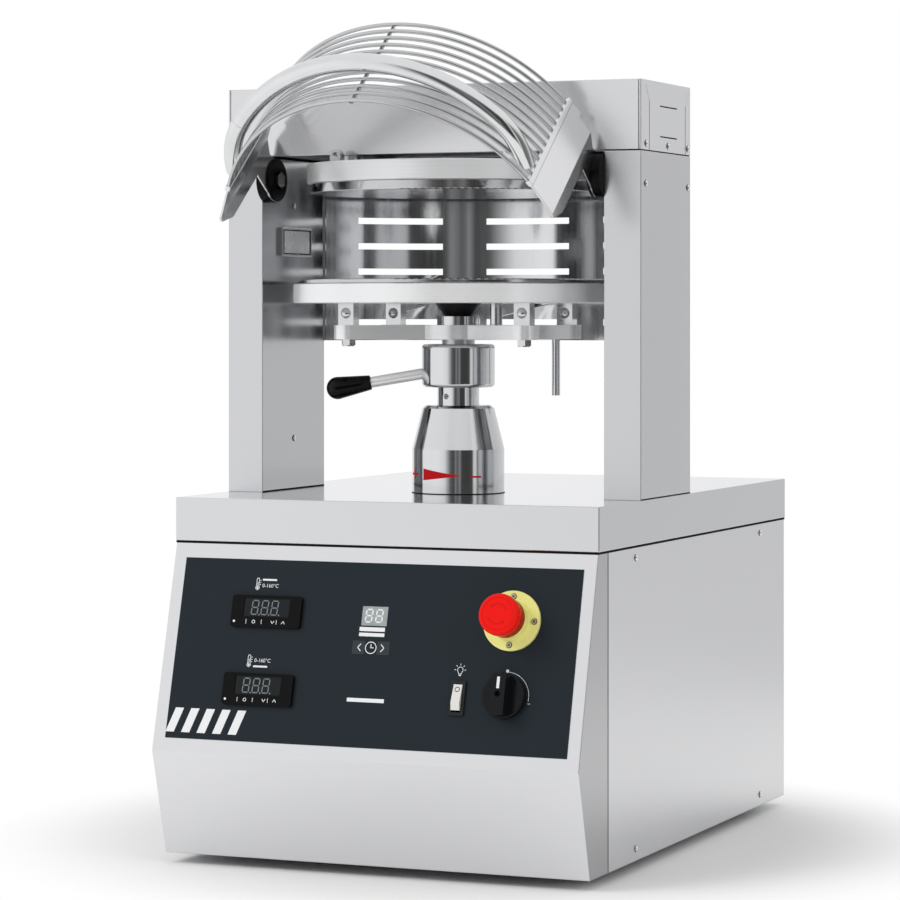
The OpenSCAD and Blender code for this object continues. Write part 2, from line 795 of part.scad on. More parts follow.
// The cam's edge: the roller's path moved inwards by the roller's radius; ease rounds the start of the rise
function cam_edge(turn, ease = 1) =
    let (rise = (turn >= 0 && turn < cam_angle) ? ease * stroke / (cam_angle * PI / 180) : 0,
         r = roller_path_r(turn),
         along = [-rise * sin(turn) - r * cos(turn), rise * cos(turn) - r * sin(turn)],
         inward = [along[1], -along[0]] / norm(along) * -1,
         centre = [-r * sin(turn), r * cos(turn)])
    centre + inward * (roller_r + move_gap) * (inward * centre < 0 ? 1 : -1);

module lifting_cam() {
    color("#a7abb0") on_axis(cam_axis_h) difference() {
        rotate([90, 0, 0]) linear_extrude(cam_t, center = true)
            polygon(concat(
                [for (turn = [-25:step_angle:-step_angle]) cam_edge(turn)],
                [for (ease = [0:0.125:1]) cam_edge(0, ease)],
                [for (turn = [step_angle:step_angle:cam_angle + dwell_angle]) cam_edge(turn)]));
        rod_y(cam_shaft_r + seat_gap / 2, -cam_t, cam_t);
    }
}

cam_shaft_y0 = -52;
cam_shaft_y1 = 60;

module cam_shaft() {
    color(bright) on_axis(cam_axis_h) rod_y(cam_shaft_r, cam_shaft_y0, cam_shaft_y1);
}

// Plummer plate at the front end of the cam's shaft
bearing_half = 45;
bearing_t = 12;
bearing_foot = 60;

module cam_bearing() {
    y0 = cam_shaft_y0 + bearing_t / 6;
    color("#7d8186") on_axis() difference() {
        union() {
            span([-bearing_half, y0, floor_t], [bearing_half, y0 + bearing_t, cam_axis_h]);
            translate([0, 0, cam_axis_h]) rod_y(bearing_half, y0, y0 + bearing_t);
            span([-bearing_foot, y0 - 0.8 * bearing_t, floor_t],
                 [bearing_foot, y0 + 1.8 * bearing_t, floor_t + bearing_t * 0.7]);
        }
        translate([0, 0, cam_axis_h]) rod_y(cam_shaft_r + run_gap, cam_shaft_y0 - bearing_t, cam_shaft_y1);
    }
}

// Gear motor: the gearbox's place and half width, then the flange, the motor and its fan cover
gearbox_y0 = 30;
gearbox_y1 = 110;
gearbox_half = 55;
motor_flange_r = 52;
motor_flange_l = 20;
motor_r = 60;
motor_l = 130;
fan_r = 54;
fan_l = 28;
terminal_half = 35;
terminal_h = 85;

module gear_motor() {
    motor_y = gearbox_y1 + motor_flange_l;
    color("#5d666e") on_axis(cam_axis_h) difference() {
        union() {
            span([-gearbox_half, gearbox_y0, -gearbox_half], [gearbox_half, gearbox_y1, gearbox_half]);
            rod_y(motor_flange_r, gearbox_y1, motor_y);
            rod_y(motor_r, motor_y, motor_y + motor_l);
            rod_y(fan_r, motor_y + motor_l, motor_y + motor_l + fan_l);
            span([-terminal_half, motor_y + motor_l / 4, motor_r / 2],
                 [terminal_half, motor_y + motor_l * 0.77, terminal_h]);
        }
        rod_y(cam_shaft_r + run_gap, gearbox_y0 - 1, cam_shaft_y1 + 1);
    }
}

bracket_half = 70;
bracket_t = 6;

module motor_bracket() {
    shelf_z = cam_axis_h - gearbox_half;
    color("#7d8186") on_axis() {
        span([-bracket_half, gearbox_y0, floor_t], [bracket_half, gearbox_y1, floor_t + bracket_t]);
        for (x = [-gearbox_half + 3, gearbox_half - 11])
            span([x, gearbox_y0, floor_t], [x + 8, gearbox_y1, shelf_z]);
        span([-gearbox_half, gearbox_y0, shelf_z - bracket_t], [gearbox_half, gearbox_y1, shelf_z]);
    }
}

// Adjusting drum: turns on the piston's spigot and screws the carrier's stem up or down
module adjuster_drum() {
    color(bright) on_axis(drum_z) difference() {
        turned_disc(drum_d / 2, drum_h, 4);
        translate([0, 0, -1]) cylinder(r = spigot_r + run_gap, h = drum_h);
        translate([0, 0, spigot_h + 1]) cylinder(r = stem_r + run_gap, h = drum_h);
        in_lever() rod_x(lever_d / 2 + run_gap, drum_d / 2 - 9, drum_d);
    }
}

lever_up = 13.5;

// Places a piece along the lever, drawn along the x axis from the drum's axis
module in_lever() {
    translate([0, 0, lever_up + drum_d / 2 * tan(lever_slope)]) rotate([0, 0, lever_azimuth])
        rotate([0, lever_slope, 0]) children();
}

module lever_rod() {
    color(bright) on_axis(drum_z) in_lever()
        rod_x(lever_d / 2, drum_d / 2 - 8.5, lever_reach - lever_knob_l + 24);
}

module lever_knob() {
    tip_r = 10.2;
    neck_r = lever_d / 2 + 1.6;
    color(black) on_axis(drum_z) in_lever() translate([lever_reach, 0, 0]) rotate([0, -90, 0]) difference() {
        rotate_extrude() {
            intersection() {
                translate([0, tip_r]) circle(tip_r);
                square([tip_r, tip_r]);
            }
            polygon([[0, tip_r], [tip_r, tip_r], [neck_r, lever_knob_l], [0, lever_knob_l]]);
        }
        translate([0, 0, lever_knob_l - 24 - 0.2]) cylinder(r = lever_d / 2 + run_gap, h = 30);
    }
}

module platen_carrier() {
    color(steel) on_axis(carrier_z) difference() {
        union() {
            cylinder(r = 40, h = carrier_t);
            for (a = [arm_angle, -arm_angle, 180 - arm_angle, 180 + arm_angle])
                rotate(a) {
                    span([0, -arm_w / 2, 0], [bolt_circle_r, arm_w / 2, carrier_t]);
                    translate([bolt_circle_r, 0, 0]) cylinder(d = arm_w, h = carrier_t);
                }
            translate([0, 0, -carrier_gap - drum_h + spigot_h + stem_gap])
                cylinder(r = stem_r, h = carrier_gap + drum_h - spigot_h - stem_gap + 1);
        }
        at_bolts() translate([0, 0, -1]) cylinder(r = bolt_r + seat_gap, h = carrier_t + 2);
        rotate(arm_angle) translate([stop_rod_r, 0, -1]) cylinder(r = stop_rod_d / 2 + seat_gap / 2, h = 9);
    }
}

bolt_r = 4;
bolt_circle_r = platen_d / 2 - bolt_inset;
stop_rod_r = bolt_circle_r - 11.5;
stop_rod_d = 8.6;

// Repeats a piece at the carrier's four bolts
module at_bolts() {
    for (a = [arm_angle, -arm_angle, 180 - arm_angle, 180 + arm_angle])
        rotate(a) translate([bolt_circle_r, 0, 0]) children();
}

module carrier_nut() {
    color(bright) on_axis(carrier_z + carrier_t) cylinder(r = 22, h = 9);
}

module insulating_cone() {
    color(black) on_axis(carrier_z + carrier_t + 9)
        cylinder(r1 = 14, r2 = 24, h = standoff_h - 9);
}

// Square stand-offs, each with a dome screw in its front face
module carrier_standoffs() {
    color(bright) on_axis(carrier_z + carrier_t) for (x = [-1, 1], y = [-1, 1])
        translate([x * bolt_circle_r * cos(arm_angle), y * bolt_circle_r * sin(arm_angle), 0]) difference() {
            union() {
                span([-8.5, -7, 0], [8.5, 7, standoff_h]);
                translate([0, -7, standoff_h / 2 + 1]) rotate([0, 0, -90]) dome_head(5.5, 3.5);
            }
            translate([0, 0, -1]) cylinder(r = bolt_r + seat_gap, h = standoff_h + 2);
        }
}

module carrier_bolts() {
    color(bright) on_axis(carrier_z) {
        at_bolts() cylinder(r = bolt_r, h = carrier_t + standoff_h + 9);
        for (a = [-arm_angle, 180 + arm_angle]) rotate(a) translate([bolt_circle_r, 0, 0]) {
            translate([0, 0, -6]) rotate(30) cylinder(r = 7.5, h = 6, $fn = 6);
            translate([0, 0, -7]) cylinder(r = 6, h = 2);
        }
    }
}

module lever_stop_rod() {
    color(bright) on_axis(carrier_z) rotate(arm_angle) translate([stop_rod_r, 0, -58]) {
        cylinder(r = stop_rod_d / 2, h = 66);
    }
}

module lower_platen() {
    color(aluminium) on_axis(platen_z) difference() {
        turned_disc(platen_d / 2, platen_t, 1);
        translate([0, 0, platen_t + 0.01]) mirror([0, 0, 1]) heater_ring(seat_gap);
        at_bolts() translate([0, 0, -1]) cylinder(r = bolt_r + seat_gap, h = 11);
    }
}

module lower_press_plate() {
    color(bright) on_axis(press_z) turned_disc(press_d / 2, press_t, 1);
}

module lower_heater() {
    color("#8a6f5a") on_axis(press_z) mirror([0, 0, 1]) heater_ring(0);
}

// The end of the bars at the right, seen from above the closed guard
bar_end = [bar_end_x, -arc_fwd - guard_r * cos(bar_half_angle)];

// Places a flat sheet at the right cheek: x along it from the bars' ends, y up from the top bar
module on_cheek(thick) {
    translate([bar_end[0], bar_end[1], top_bar_up]) rotate([0, 0, 90 - (90 - bar_half_angle)])
        rotate([90, 0, 0]) translate([0, 0, -thick / 2]) linear_extrude(thick) children();
}

module guard_cheek() {
    face_l = cheek_run / cos(bar_half_angle);
    low = -bars_h - bar_d / 2;
    bend_y = bar_end[1] + face_l * sin(bar_half_angle);
    flange_y = bend_y + 15;
    difference() {
        union() {
            on_cheek(strip_t) translate([0, low]) square([strip_l, 8 - low]);
            on_cheek(cheek_t) polygon([[strip_l - 1, low], [face_l * 0.7, low - 2.5], [face_l + 0.5, low - 5],
                [face_l + 0.5, -1], [face_l * 0.55, 1.6], [face_l * 0.55, 8], [strip_l - 1, 8]]);
            translate([flange_x - cheek_t / 2, 0, top_bar_up]) rotate([90, 0, 90]) linear_extrude(cheek_t) {
                polygon([[bend_y, -1], [flange_y, -6], [0, lug_r - top_bar_up], [0, -lug_r - top_bar_up],
                    [flange_y, -42], [flange_y, low + 18], [bend_y + 4, low - 5], [bend_y, low - 5]]);
                translate([0, -top_bar_up]) circle(lug_r);
            }
        }
        rod_x(pivot_r + run_gap, flange_x - 5, flange_x + 5);
    }
}

module guard_cheek_left() {
    color(steel) in_guard() mirror([1, 0, 0]) guard_cheek();
}

module guard_cheek_right() {
    color(steel) in_guard() guard_cheek();
}

module guard_bars() {
    color(bright) in_guard() translate([0, -arc_fwd, top_bar_up]) {
        for (k = [0:bar_count - 1])
            translate([0, 0, -k * bar_pitch]) rotate(-90 - bar_half_angle)
                rotate_extrude(angle = 2 * bar_half_angle) translate([guard_r, 0]) circle(bar_d / 2);
        translate([0, -guard_r + bar_d + seat_gap, -bars_h - bar_d / 2])
            cylinder(d = bar_d, h = bars_h + bar_d);
    }
}

// The section of the handle's tube, or of a sleeve let into its wall
module tube_ring(out_r, in_r) {
    difference() {
        circle(out_r);
        circle(in_r);
    }
}

// Handle: an arch of one wide arc between two corner arcs, joined by sleeves, its ends cut to sit on the bars
module guard_handle() {
    corner_x = handle_half - handle_corner_r;
    ahead = handle_reach - handle_corner_r;
    drop = (corner_x * corner_x - ahead * ahead) / (2 * ahead);
    crown_r = handle_reach + drop;
    half_arc = atan2(corner_x, drop);
    joint_gap = 0.5;
    tube_r = handle_d / 2;
    color(bright) in_guard() difference() {
        translate([0, -arc_fwd - handle_back, top_bar_up - handle_low]) rotate([-handle_angle, 0, 0]) {
            crown_half = half_arc - joint_gap;
            translate([0, drop, 0]) rotate(-90 - crown_half)
                rotate_extrude(angle = 2 * crown_half) translate([crown_r, 0])
                    tube_ring(tube_r, tube_r - handle_wall);
            for (side = [0, 1]) mirror([side, 0, 0]) translate([corner_x, 0, 0]) {
                rotate(-90 + half_arc + joint_gap) rotate_extrude(angle = 90 - half_arc - joint_gap)
                    translate([handle_corner_r, 0]) tube_ring(tube_r, tube_r - handle_wall);
                rotate(-90 + half_arc) translate([handle_corner_r, 0, 0]) rotate([90, 0, 0])
                    linear_extrude(8, center = true) tube_ring(tube_r + 0.25, tube_r - handle_wall / 2);
            }
        }
        translate([0, -arc_fwd, -bars_h]) cylinder(r = guard_r + bar_d / 2 + seat_gap, h = 2 * bars_h);
    }
}

// Pivots: shoulder bolts through the cheeks' lugs and friction discs, into the columns
module guard_pivot_bolts() {
    head_x = flange_x - cheek_t / 2 - move_gap;
    color(bright) on_base() for (side = [0, 1]) mirror([side, 0, 0]) translate([0, pivot_y, pivot_z]) {
        rod_x(pivot_r, head_x, column_x + column_wall - 0.2);
        translate([head_x - pivot_head_h, 0, 0]) rotate([0, 90, 0])
            cylinder(r = pivot_head_r, h = pivot_head_h, $fn = 6);
    }
}

module guard_friction_discs() {
    disc_x = flange_x + cheek_t / 2 + move_gap;
    color(black) on_base() for (side = [0, 1]) mirror([side, 0, 0]) translate([0, pivot_y, pivot_z])
        difference() {
            rod_x(disc_d / 2, disc_x, column_x);
            rod_x(pivot_r + seat_gap, disc_x - 1, column_x + 1);
        }
}

// Emergency stop: a collar through the panel, a sliding stem and a mushroom cap
estop_neck_r = 14;
estop_stem_r = 11;
cap_h = 17;
estop_travel = 5;
estop_ring_t = 3;
estop_depth = 40;
estop_bore = 34;

module estop_collar() {
    color("#e8e29a") on_panel(dial_right, estop_s, overlay_t) difference() {
        union() {
            cylinder(r = estop_ring_d / 2, h = estop_ring_t);
            cylinder(r = estop_neck_r + estop_ring_t, h = estop_out - cap_h - estop_travel - estop_ring_t);
            translate([0, 0, -estop_depth]) cylinder(r = estop_neck_r, h = estop_depth + 1);
        }
        translate([0, 0, -estop_bore]) cylinder(r = estop_stem_r + run_gap, h = 2 * estop_bore + 12);
    }
}

module estop_stem() {
    color("#3a3d40") on_panel(dial_right, estop_s, overlay_t)
        translate([0, 0, -estop_bore + estop_travel + estop_ring_t])
            cylinder(r = estop_stem_r, h = estop_out - 5 + estop_bore - estop_travel - estop_ring_t);
}

module estop_cap() {
    color("#e2211c") on_panel(dial_right, estop_s, overlay_t + estop_out - cap_h) difference() {
        union() {
            translate([0, 0, 4]) turned_disc(estop_cap_d / 2, cap_h - 4, 3.5);
            cylinder(r = estop_cap_d / 2 - 5, h = 8);
        }
        translate([0, 0, -1]) cylinder(r = estop_stem_r + run_gap, h = cap_h - 4 + move_gap);
    }
}

// Selector: a switch block behind the panel and a knob with a grip across its face
knob_shaft_r = 3;
knob_h = 21;

module selector_switch() {
    color(black) on_panel(dial_right, knob_s, -sheet) difference() {
        translate([-20, -20, -34]) cube([40, 40, 34]);
        translate([0, 0, -25]) cylinder(r = knob_shaft_r + run_gap, h = 26);
    }
}

module selector_knob() {
    color(black) on_panel(dial_right, knob_s, overlay_t) {
        translate([0, 0, -sheet - overlay_t - 20]) cylinder(r = knob_shaft_r, h = sheet + overlay_t + 24);
        translate([0, 0, move_gap]) turned_disc(knob_d / 2, 7, 1.5);
        translate([0, 0, move_gap + 5]) intersection() {
            turned_disc(knob_d / 2 - 1, knob_h - 5, 2);
            translate([0, 0, knob_h / 2]) cube([knob_d * 0.34, knob_d, knob_h], center = true);
        }
    }
}

// Rocker switch beside the selector: a frame with a window, and a paddle on a cross pin
rocker_s = knob_s - 3.5;
rocker_axis = -1.5;
rocker_angle = 8;
window_w = rocker_w - 6;
window_h = rocker_h - 6.5;

module rocker_frame() {
    color(black) on_panel(rocker_right, rocker_s, overlay_t) difference() {
        union() {
            linear_extrude(2) round_rect(rocker_w, rocker_h, 1.2);
            translate([0, 0, -22]) linear_extrude(22.5) square([rocker_w - 2, rocker_h - 2], center = true);
        }
        translate([0, 0, -12]) linear_extrude(20) square([window_w, window_h], center = true);
        translate([0, 0, rocker_axis]) rod_x(1 + run_gap, -window_w / 2 - 1.4, window_w / 2 + 1.4);
    }
}

module rocker() {
    w = window_w - 2 * move_gap;
    l = window_h - 2;
    color("#eeeade") on_panel(rocker_right, rocker_s, overlay_t + rocker_axis) rotate([-rocker_angle, 0, 0]) {
        rotate([90, 0, 90]) linear_extrude(w, center = true)
            polygon([[-l / 2, 3.6], [-l / 2 + 1.5, -4], [l / 2 - 1.5, -4], [l / 2, 5.2], [-0.23 * l, 6.6]]);
        rod_x(1, -window_w / 2 - 1.2, window_w / 2 + 1.2);
    }
}

// Controllers: the bezel's thickness and corner, the case's wall and depth
ctrl_t = 4;
ctrl_corner = 3;
ctrl_lip = 2;
ctrl_depth = 58;

module temperature_controllers() {
    color(black) for (s = [ctrl_up_s, ctrl_low_s]) on_panel(-ctrl_left, s, overlay_t) difference() {
        union() {
            linear_extrude(ctrl_t) round_rect(ctrl_w, ctrl_h, ctrl_corner);
            translate([0, 0, -ctrl_depth]) linear_extrude(ctrl_depth + 1)
                square([ctrl_w - 2 * ctrl_lip, ctrl_h - 2 * ctrl_lip], center = true);
        }
        translate([0, ctrl_h * 0.12, ctrl_t - 1]) linear_extrude(2)
            round_rect(ctrl_w * 0.66, ctrl_h * 0.58, 1);
    }
}

module timer_display() {
    color("#aeb6b4") on_panel(0, ctrl_up_s, overlay_t - 0.3) translate([0, 0, -14]) linear_extrude(14)
        square([timer_w, timer_h], center = true);
    color("#3b4a3f") on_panel(0, ctrl_up_s, -sheet - 14) linear_extrude(1.6)
        square([timer_w + 40, timer_h + 40], center = true);
}

base_frame();
front_fascia();
panel_overlay();
left_side_panel();
right_side_panel();
rear_panel();
top_lid();
rubber_feet();
left_column();
right_column();
head_cover();
head_beam();
head_end_caps();
back_guard();
upper_platen();
upper_press_plate();
upper_heater();
upper_platen_mounts();
piston_housing();
guide_bush();
gear_motor();
motor_bracket();
cam_bearing();
guard_pivot_bolts();
guard_friction_discs();
lamp_housing();
lamp_glass();
estop_collar();
rocker_frame();
temperature_controllers();
timer_display();
selector_switch();
panel_screws();
cable_gland();
piston();
follower_pin();
follower_roller();
lifting_cam();
cam_shaft();
adjuster_drum();
lever_rod();
lever_knob();
platen_carrier();
carrier_nut();
insulating_cone();
carrier_standoffs();
carrier_bolts();
lever_stop_rod();
lower_platen();
lower_press_plate();
lower_heater();
guard_cheek_left();
guard_cheek_right();
guard_bars();
guard_handle();
estop_stem();
estop_cap();
rocker();
selector_knob();
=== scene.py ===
import math

import bmesh
import bpy
from mathutils import Matrix, Vector


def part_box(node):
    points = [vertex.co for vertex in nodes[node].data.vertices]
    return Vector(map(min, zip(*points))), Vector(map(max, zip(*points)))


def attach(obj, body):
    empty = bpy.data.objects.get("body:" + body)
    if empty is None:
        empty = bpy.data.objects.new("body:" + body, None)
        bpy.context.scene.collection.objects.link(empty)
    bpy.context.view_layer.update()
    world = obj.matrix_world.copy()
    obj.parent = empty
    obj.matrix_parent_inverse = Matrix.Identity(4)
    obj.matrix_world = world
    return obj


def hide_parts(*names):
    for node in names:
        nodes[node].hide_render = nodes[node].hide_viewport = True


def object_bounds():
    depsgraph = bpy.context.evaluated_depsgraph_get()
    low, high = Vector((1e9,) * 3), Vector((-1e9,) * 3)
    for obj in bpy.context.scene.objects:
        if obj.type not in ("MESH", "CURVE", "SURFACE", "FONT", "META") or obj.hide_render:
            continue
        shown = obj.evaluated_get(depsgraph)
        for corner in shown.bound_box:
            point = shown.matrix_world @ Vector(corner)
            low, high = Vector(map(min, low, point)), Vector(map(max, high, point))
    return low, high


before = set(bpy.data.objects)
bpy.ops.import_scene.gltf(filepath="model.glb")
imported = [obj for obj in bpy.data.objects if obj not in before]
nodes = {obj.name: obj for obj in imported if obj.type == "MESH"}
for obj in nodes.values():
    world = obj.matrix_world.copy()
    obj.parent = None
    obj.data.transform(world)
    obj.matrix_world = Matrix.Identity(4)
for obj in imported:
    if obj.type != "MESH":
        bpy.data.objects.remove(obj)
cad_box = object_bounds()

# Welded inner frame with its drive brackets, bearing plate and head beam.
# Mild steel, zinc plated after welding, so it has the mottled flakes of a plated surface.
EVEN = (1, 1, 1)
NOISE_LOW, NOISE_HIGH = 0.3, 0.7


def start_finish(name, color, metallic, roughness, gloss=0.5):
    finish = bpy.data.materials.new(name)
    finish.use_nodes = True
    shader = finish.node_tree.nodes["Principled BSDF"]
    shader.inputs["Base Color"].default_value = (*color, 1)
    shader.inputs["Metallic"].default_value = metallic
    shader.inputs["Roughness"].default_value = roughness
    shader.inputs["Specular IOR Level"].default_value = gloss
    return finish, finish.node_tree, shader


def add_node(tree, kind, **settings):
    node = tree.nodes.new(kind)
    for key, value in settings.items():
        if isinstance(getattr(node, key, None), (bool, str)):
            setattr(node, key, value)
        else:
            node.inputs[key].default_value = value
    return node


def object_map(tree, scale):
    coords = add_node(tree, "ShaderNodeTexCoord")
    mapping = add_node(tree, "ShaderNodeMapping", Scale=scale)
    tree.links.new(coords.outputs["Object"], mapping.inputs["Vector"])
    return mapping.outputs["Vector"]


def speckle(tree, scale, size, detail=3.0):
    noise = add_node(tree, "ShaderNodeTexNoise", Scale=size, Detail=detail)
    tree.links.new(object_map(tree, scale), noise.inputs["Vector"])
    return noise.outputs["Fac"]


def spread(tree, value, low, high, start=NOISE_LOW, end=NOISE_HIGH):
    span = add_node(tree, "ShaderNodeMapRange")
    span.inputs["From Min"].default_value = start
    span.inputs["From Max"].default_value = end
    span.inputs["To Min"].default_value = low
    span.inputs["To Max"].default_value = high
    tree.links.new(value, span.inputs["Value"])
    return span.outputs["Result"]


def two_tone(tree, value, dark, light):
    ramp = add_node(tree, "ShaderNodeValToRGB")
    ramp.color_ramp.elements[0].position = NOISE_LOW
    ramp.color_ramp.elements[0].color = (*dark, 1)
    ramp.color_ramp.elements[1].position = NOISE_HIGH
    ramp.color_ramp.elements[1].color = (*light, 1)
    tree.links.new(value, ramp.inputs["Fac"])
    return ramp.outputs["Color"]


def tint(tree, shader, value, dark, light):
    tree.links.new(two_tone(tree, value, dark, light), shader.inputs["Base Color"])


def vary_sheen(tree, shader, value, low, high):
    tree.links.new(spread(tree, value, low, high), shader.inputs["Roughness"])


def relief(tree, shader, value, strength, depth):
    bump = add_node(tree, "ShaderNodeBump", Strength=strength, Distance=depth)
    tree.links.new(value, bump.inputs["Height"])
    tree.links.new(bump.outputs["Normal"], shader.inputs["Normal"])
    return bump


def coat_nodes(finish, *names):
    for name in names:
        for slot in nodes[name].material_slots:
            slot.material = finish


plated, tree, shader = start_finish("plated_frame", (0.42, 0.43, 0.44), 1.0, 0.5)
flakes = speckle(tree, EVEN, 90)
tint(tree, shader, flakes, (0.34, 0.35, 0.36), (0.5, 0.51, 0.52))
vary_sheen(tree, shader, flakes, 0.4, 0.6)
relief(tree, shader, flakes, 0.15, 0.0004)
coat_nodes(plated, "base_frame", "head_beam", "motor_bracket", "cam_bearing")

# Gear motor that turns the lifting cam: a cast housing under thick blue-grey enamel.
# The enamel has the faint ripple of sprayed paint over a rough casting.
enamel, tree, shader = start_finish("motor_enamel", (0.12, 0.15, 0.18), 0.0, 0.4)
ripple = speckle(tree, EVEN, 240)
vary_sheen(tree, shader, ripple, 0.33, 0.5)
relief(tree, shader, ripple, 0.25, 0.0005)
coat_nodes(enamel, "gear_motor")

# Lifting cam, its shaft, the follower's roller and pin: ground tool steel with a film of grease.
# Grinding leaves fine parallel lines, and the grease darkens them in patches.
ground, tree, shader = start_finish("ground_steel", (0.5, 0.5, 0.49), 1.0, 0.3)
lines = speckle(tree, (700, 30, 700), 1.0)
grease = speckle(tree, EVEN, 25)
tint(tree, shader, grease, (0.36, 0.35, 0.32), (0.56, 0.56, 0.55))
vary_sheen(tree, shader, lines, 0.22, 0.42)
coat_nodes(ground, "lifting_cam", "cam_shaft", "follower_roller", "follower_pin")

# Guide bush pressed into the piston's housing: turned bronze.
# Its turning marks run round the bore, so they are stretched flat across its height.
bronze, tree, shader = start_finish("turned_bronze", (0.52, 0.36, 0.17), 1.0, 0.32)
marks = speckle(tree, (4, 4, 900), 1.0)
tint(tree, shader, marks, (0.44, 0.29, 0.13), (0.58, 0.42, 0.22))
vary_sheen(tree, shader, marks, 0.25, 0.42)
coat_nodes(bronze, "guide_bush")

# Rubber feet screwed under the base, moulded in black rubber.
# The skin is dry and slightly bloomed, so it is paler in small patches.
rubber, tree, shader = start_finish("foot_rubber", (0.02, 0.02, 0.021), 0.0, 0.7)
bloom = speckle(tree, EVEN, 180)
tint(tree, shader, bloom, (0.014, 0.014, 0.015), (0.035, 0.035, 0.036))
vary_sheen(tree, shader, bloom, 0.6, 0.85)
relief(tree, shader, bloom, 0.2, 0.0003)
coat_nodes(rubber, "rubber_feet")

# Lid, fascia, side panels and rear panel: folded stainless sheet with a satin, machine-brushed face.
# The brushing runs across the front and the top, and from front to back on the sides.
# The folds have a small radius, which catches a thin line of light.
FOLD_R = 0.0014
SHEET_EASE = 0.0006
SIDE_LIMIT, TOP_LIMIT = 0.7, 0.9


def beyond(tree, value, limit):
    test = add_node(tree, "ShaderNodeMath", operation="GREATER_THAN")
    test.inputs[1].default_value = limit
    tree.links.new(value, test.inputs[0])
    return test.outputs["Value"]


def smoother_where(tree, mask, amount, roughness):
    less = add_node(tree, "ShaderNodeMath", operation="MULTIPLY_ADD")
    less.inputs[1].default_value = -amount
    tree.links.new(mask, less.inputs[0])
    tree.links.new(roughness, less.inputs[2])
    return less.outputs["Value"]


def brushed_steel(name, color, low, high, along_sides, along_front,
                  painted_side_shade=1.0, top_polish=0.0, side_polish=0.0):
    finish, tree, shader = start_finish(name, color, 1.0, high)
    fronts = speckle(tree, along_front, 1.0, 2.0)
    sides = speckle(tree, along_sides, 1.0, 2.0)
    facing = add_node(tree, "ShaderNodeNewGeometry")
    parts = add_node(tree, "ShaderNodeSeparateXYZ")
    tree.links.new(facing.outputs["True Normal"], parts.inputs["Vector"])
    size = add_node(tree, "ShaderNodeMath", operation="ABSOLUTE")
    tree.links.new(parts.outputs["X"], size.inputs[0])
    is_side = beyond(tree, size.outputs["Value"], SIDE_LIMIT)
    is_top = beyond(tree, parts.outputs["Z"], TOP_LIMIT)
    pick = add_node(tree, "ShaderNodeMix", data_type="FLOAT")
    tree.links.new(is_side, pick.inputs[0])
    tree.links.new(fronts, pick.inputs[2])
    tree.links.new(sides, pick.inputs[3])
    streaks = pick.outputs[0]
    # Faces turned sideways get their colour multiplied down by a set factor: painted shade on the sides.
    shade = add_node(tree, "ShaderNodeMix", data_type="RGBA", blend_type="MULTIPLY")
    shade.inputs[7].default_value = (painted_side_shade, painted_side_shade, painted_side_shade, 1)
    tree.links.new(is_side, shade.inputs[0])
    tree.links.new(two_tone(tree, streaks, [c * 0.996 for c in color], color), shade.inputs[6])
    tree.links.new(shade.outputs[2], shader.inputs["Base Color"])
    satin = smoother_where(tree, is_top, top_polish, spread(tree, streaks, low, high))
    tree.links.new(smoother_where(tree, is_side, side_polish, satin), shader.inputs["Roughness"])
    grain = relief(tree, shader, streaks, 0.002, 0.0002)
    fold = add_node(tree, "ShaderNodeBevel", Radius=FOLD_R)
    fold.samples = 6
    tree.links.new(fold.outputs["Normal"], grain.inputs["Normal"])
    return finish


def ease_edges(width, *names):
    for name in names:
        weld = nodes[name].modifiers.new("joined", "WELD")
        weld.merge_threshold = 0.00001
        ease = nodes[name].modifiers.new("eased", "BEVEL")
        ease.width = width
        ease.segments = 2
        ease.limit_method = "ANGLE"
        ease.angle_limit = math.radians(50)


# The lid's and the fascia's sideways faces are darker in colour than their fronts: painted shade, strongest
# on the fascia.
lid_steel = brushed_steel("lid_steel", (0.69, 0.695, 0.705), 0.25, 0.265,
                          (1, 5, 500), (5, 500, 500), painted_side_shade=0.86, top_polish=0.14)
coat_nodes(lid_steel, "top_lid")
fascia_steel = brushed_steel("fascia_steel", (0.75, 0.753, 0.765), 0.29, 0.32,
                             (1, 700, 7), (5, 700, 700), painted_side_shade=0.62)
coat_nodes(fascia_steel, "front_fascia")
side_steel = brushed_steel("side_steel", (0.67, 0.673, 0.682), 0.3, 0.33, (1, 5, 700), (5, 700, 700))
coat_nodes(side_steel, "left_side_panel", "right_side_panel", "rear_panel")
ease_edges(SHEET_EASE, "top_lid", "front_fascia")

# Cable gland in the rear panel, moulded in black nylon and held by its own nut.
# Moulded nylon has a soft sheen and a very fine grain.
SKIN_GRAIN = 1500


def moulded(name, color, roughness, gloss):
    finish, tree, shader = start_finish(name, color, 0.0, roughness, gloss)
    skin = speckle(tree, EVEN, SKIN_GRAIN, 2.0)
    lighter = [c * 1.06 + 0.0006 for c in color]
    tint(tree, shader, skin, color, lighter)
    vary_sheen(tree, shader, skin, roughness - 0.03, roughness + 0.04)
    relief(tree, shader, skin, 0.1, 0.00004)
    return finish


black_nylon = moulded("black_nylon", (0.008, 0.008, 0.009), 0.38, 0.3)
coat_nodes(black_nylon, "cable_gland")

# Printed overlay stuck on the sloped fascia: anthracite polyester film with a fine matt texture.
# Everything white on it is screen-printed, so each mark is a thin raised layer of ink.
# Places on the panel are in millimetres: across from the middle, and up the slope from the crease.
MM = 0.001
PANEL_TILT = 14.967
CREASE_H = 105
OVERLAY_T = 0.8
INK_T = 0.06
INK_LIFT = 0.03
SMOOTH_LIMIT = math.radians(35)

film, tree, shader = start_finish("overlay_film", (0.012, 0.018, 0.023), 0.0, 0.4, 0.16)
tooth = speckle(tree, EVEN, 1800, 2.0)
tint(tree, shader, tooth, (0.0105, 0.0165, 0.0215), (0.0135, 0.0205, 0.0265))
vary_sheen(tree, shader, tooth, 0.36, 0.44)
relief(tree, shader, tooth, 0.08, 0.00004)
coat_nodes(film, "panel_overlay")

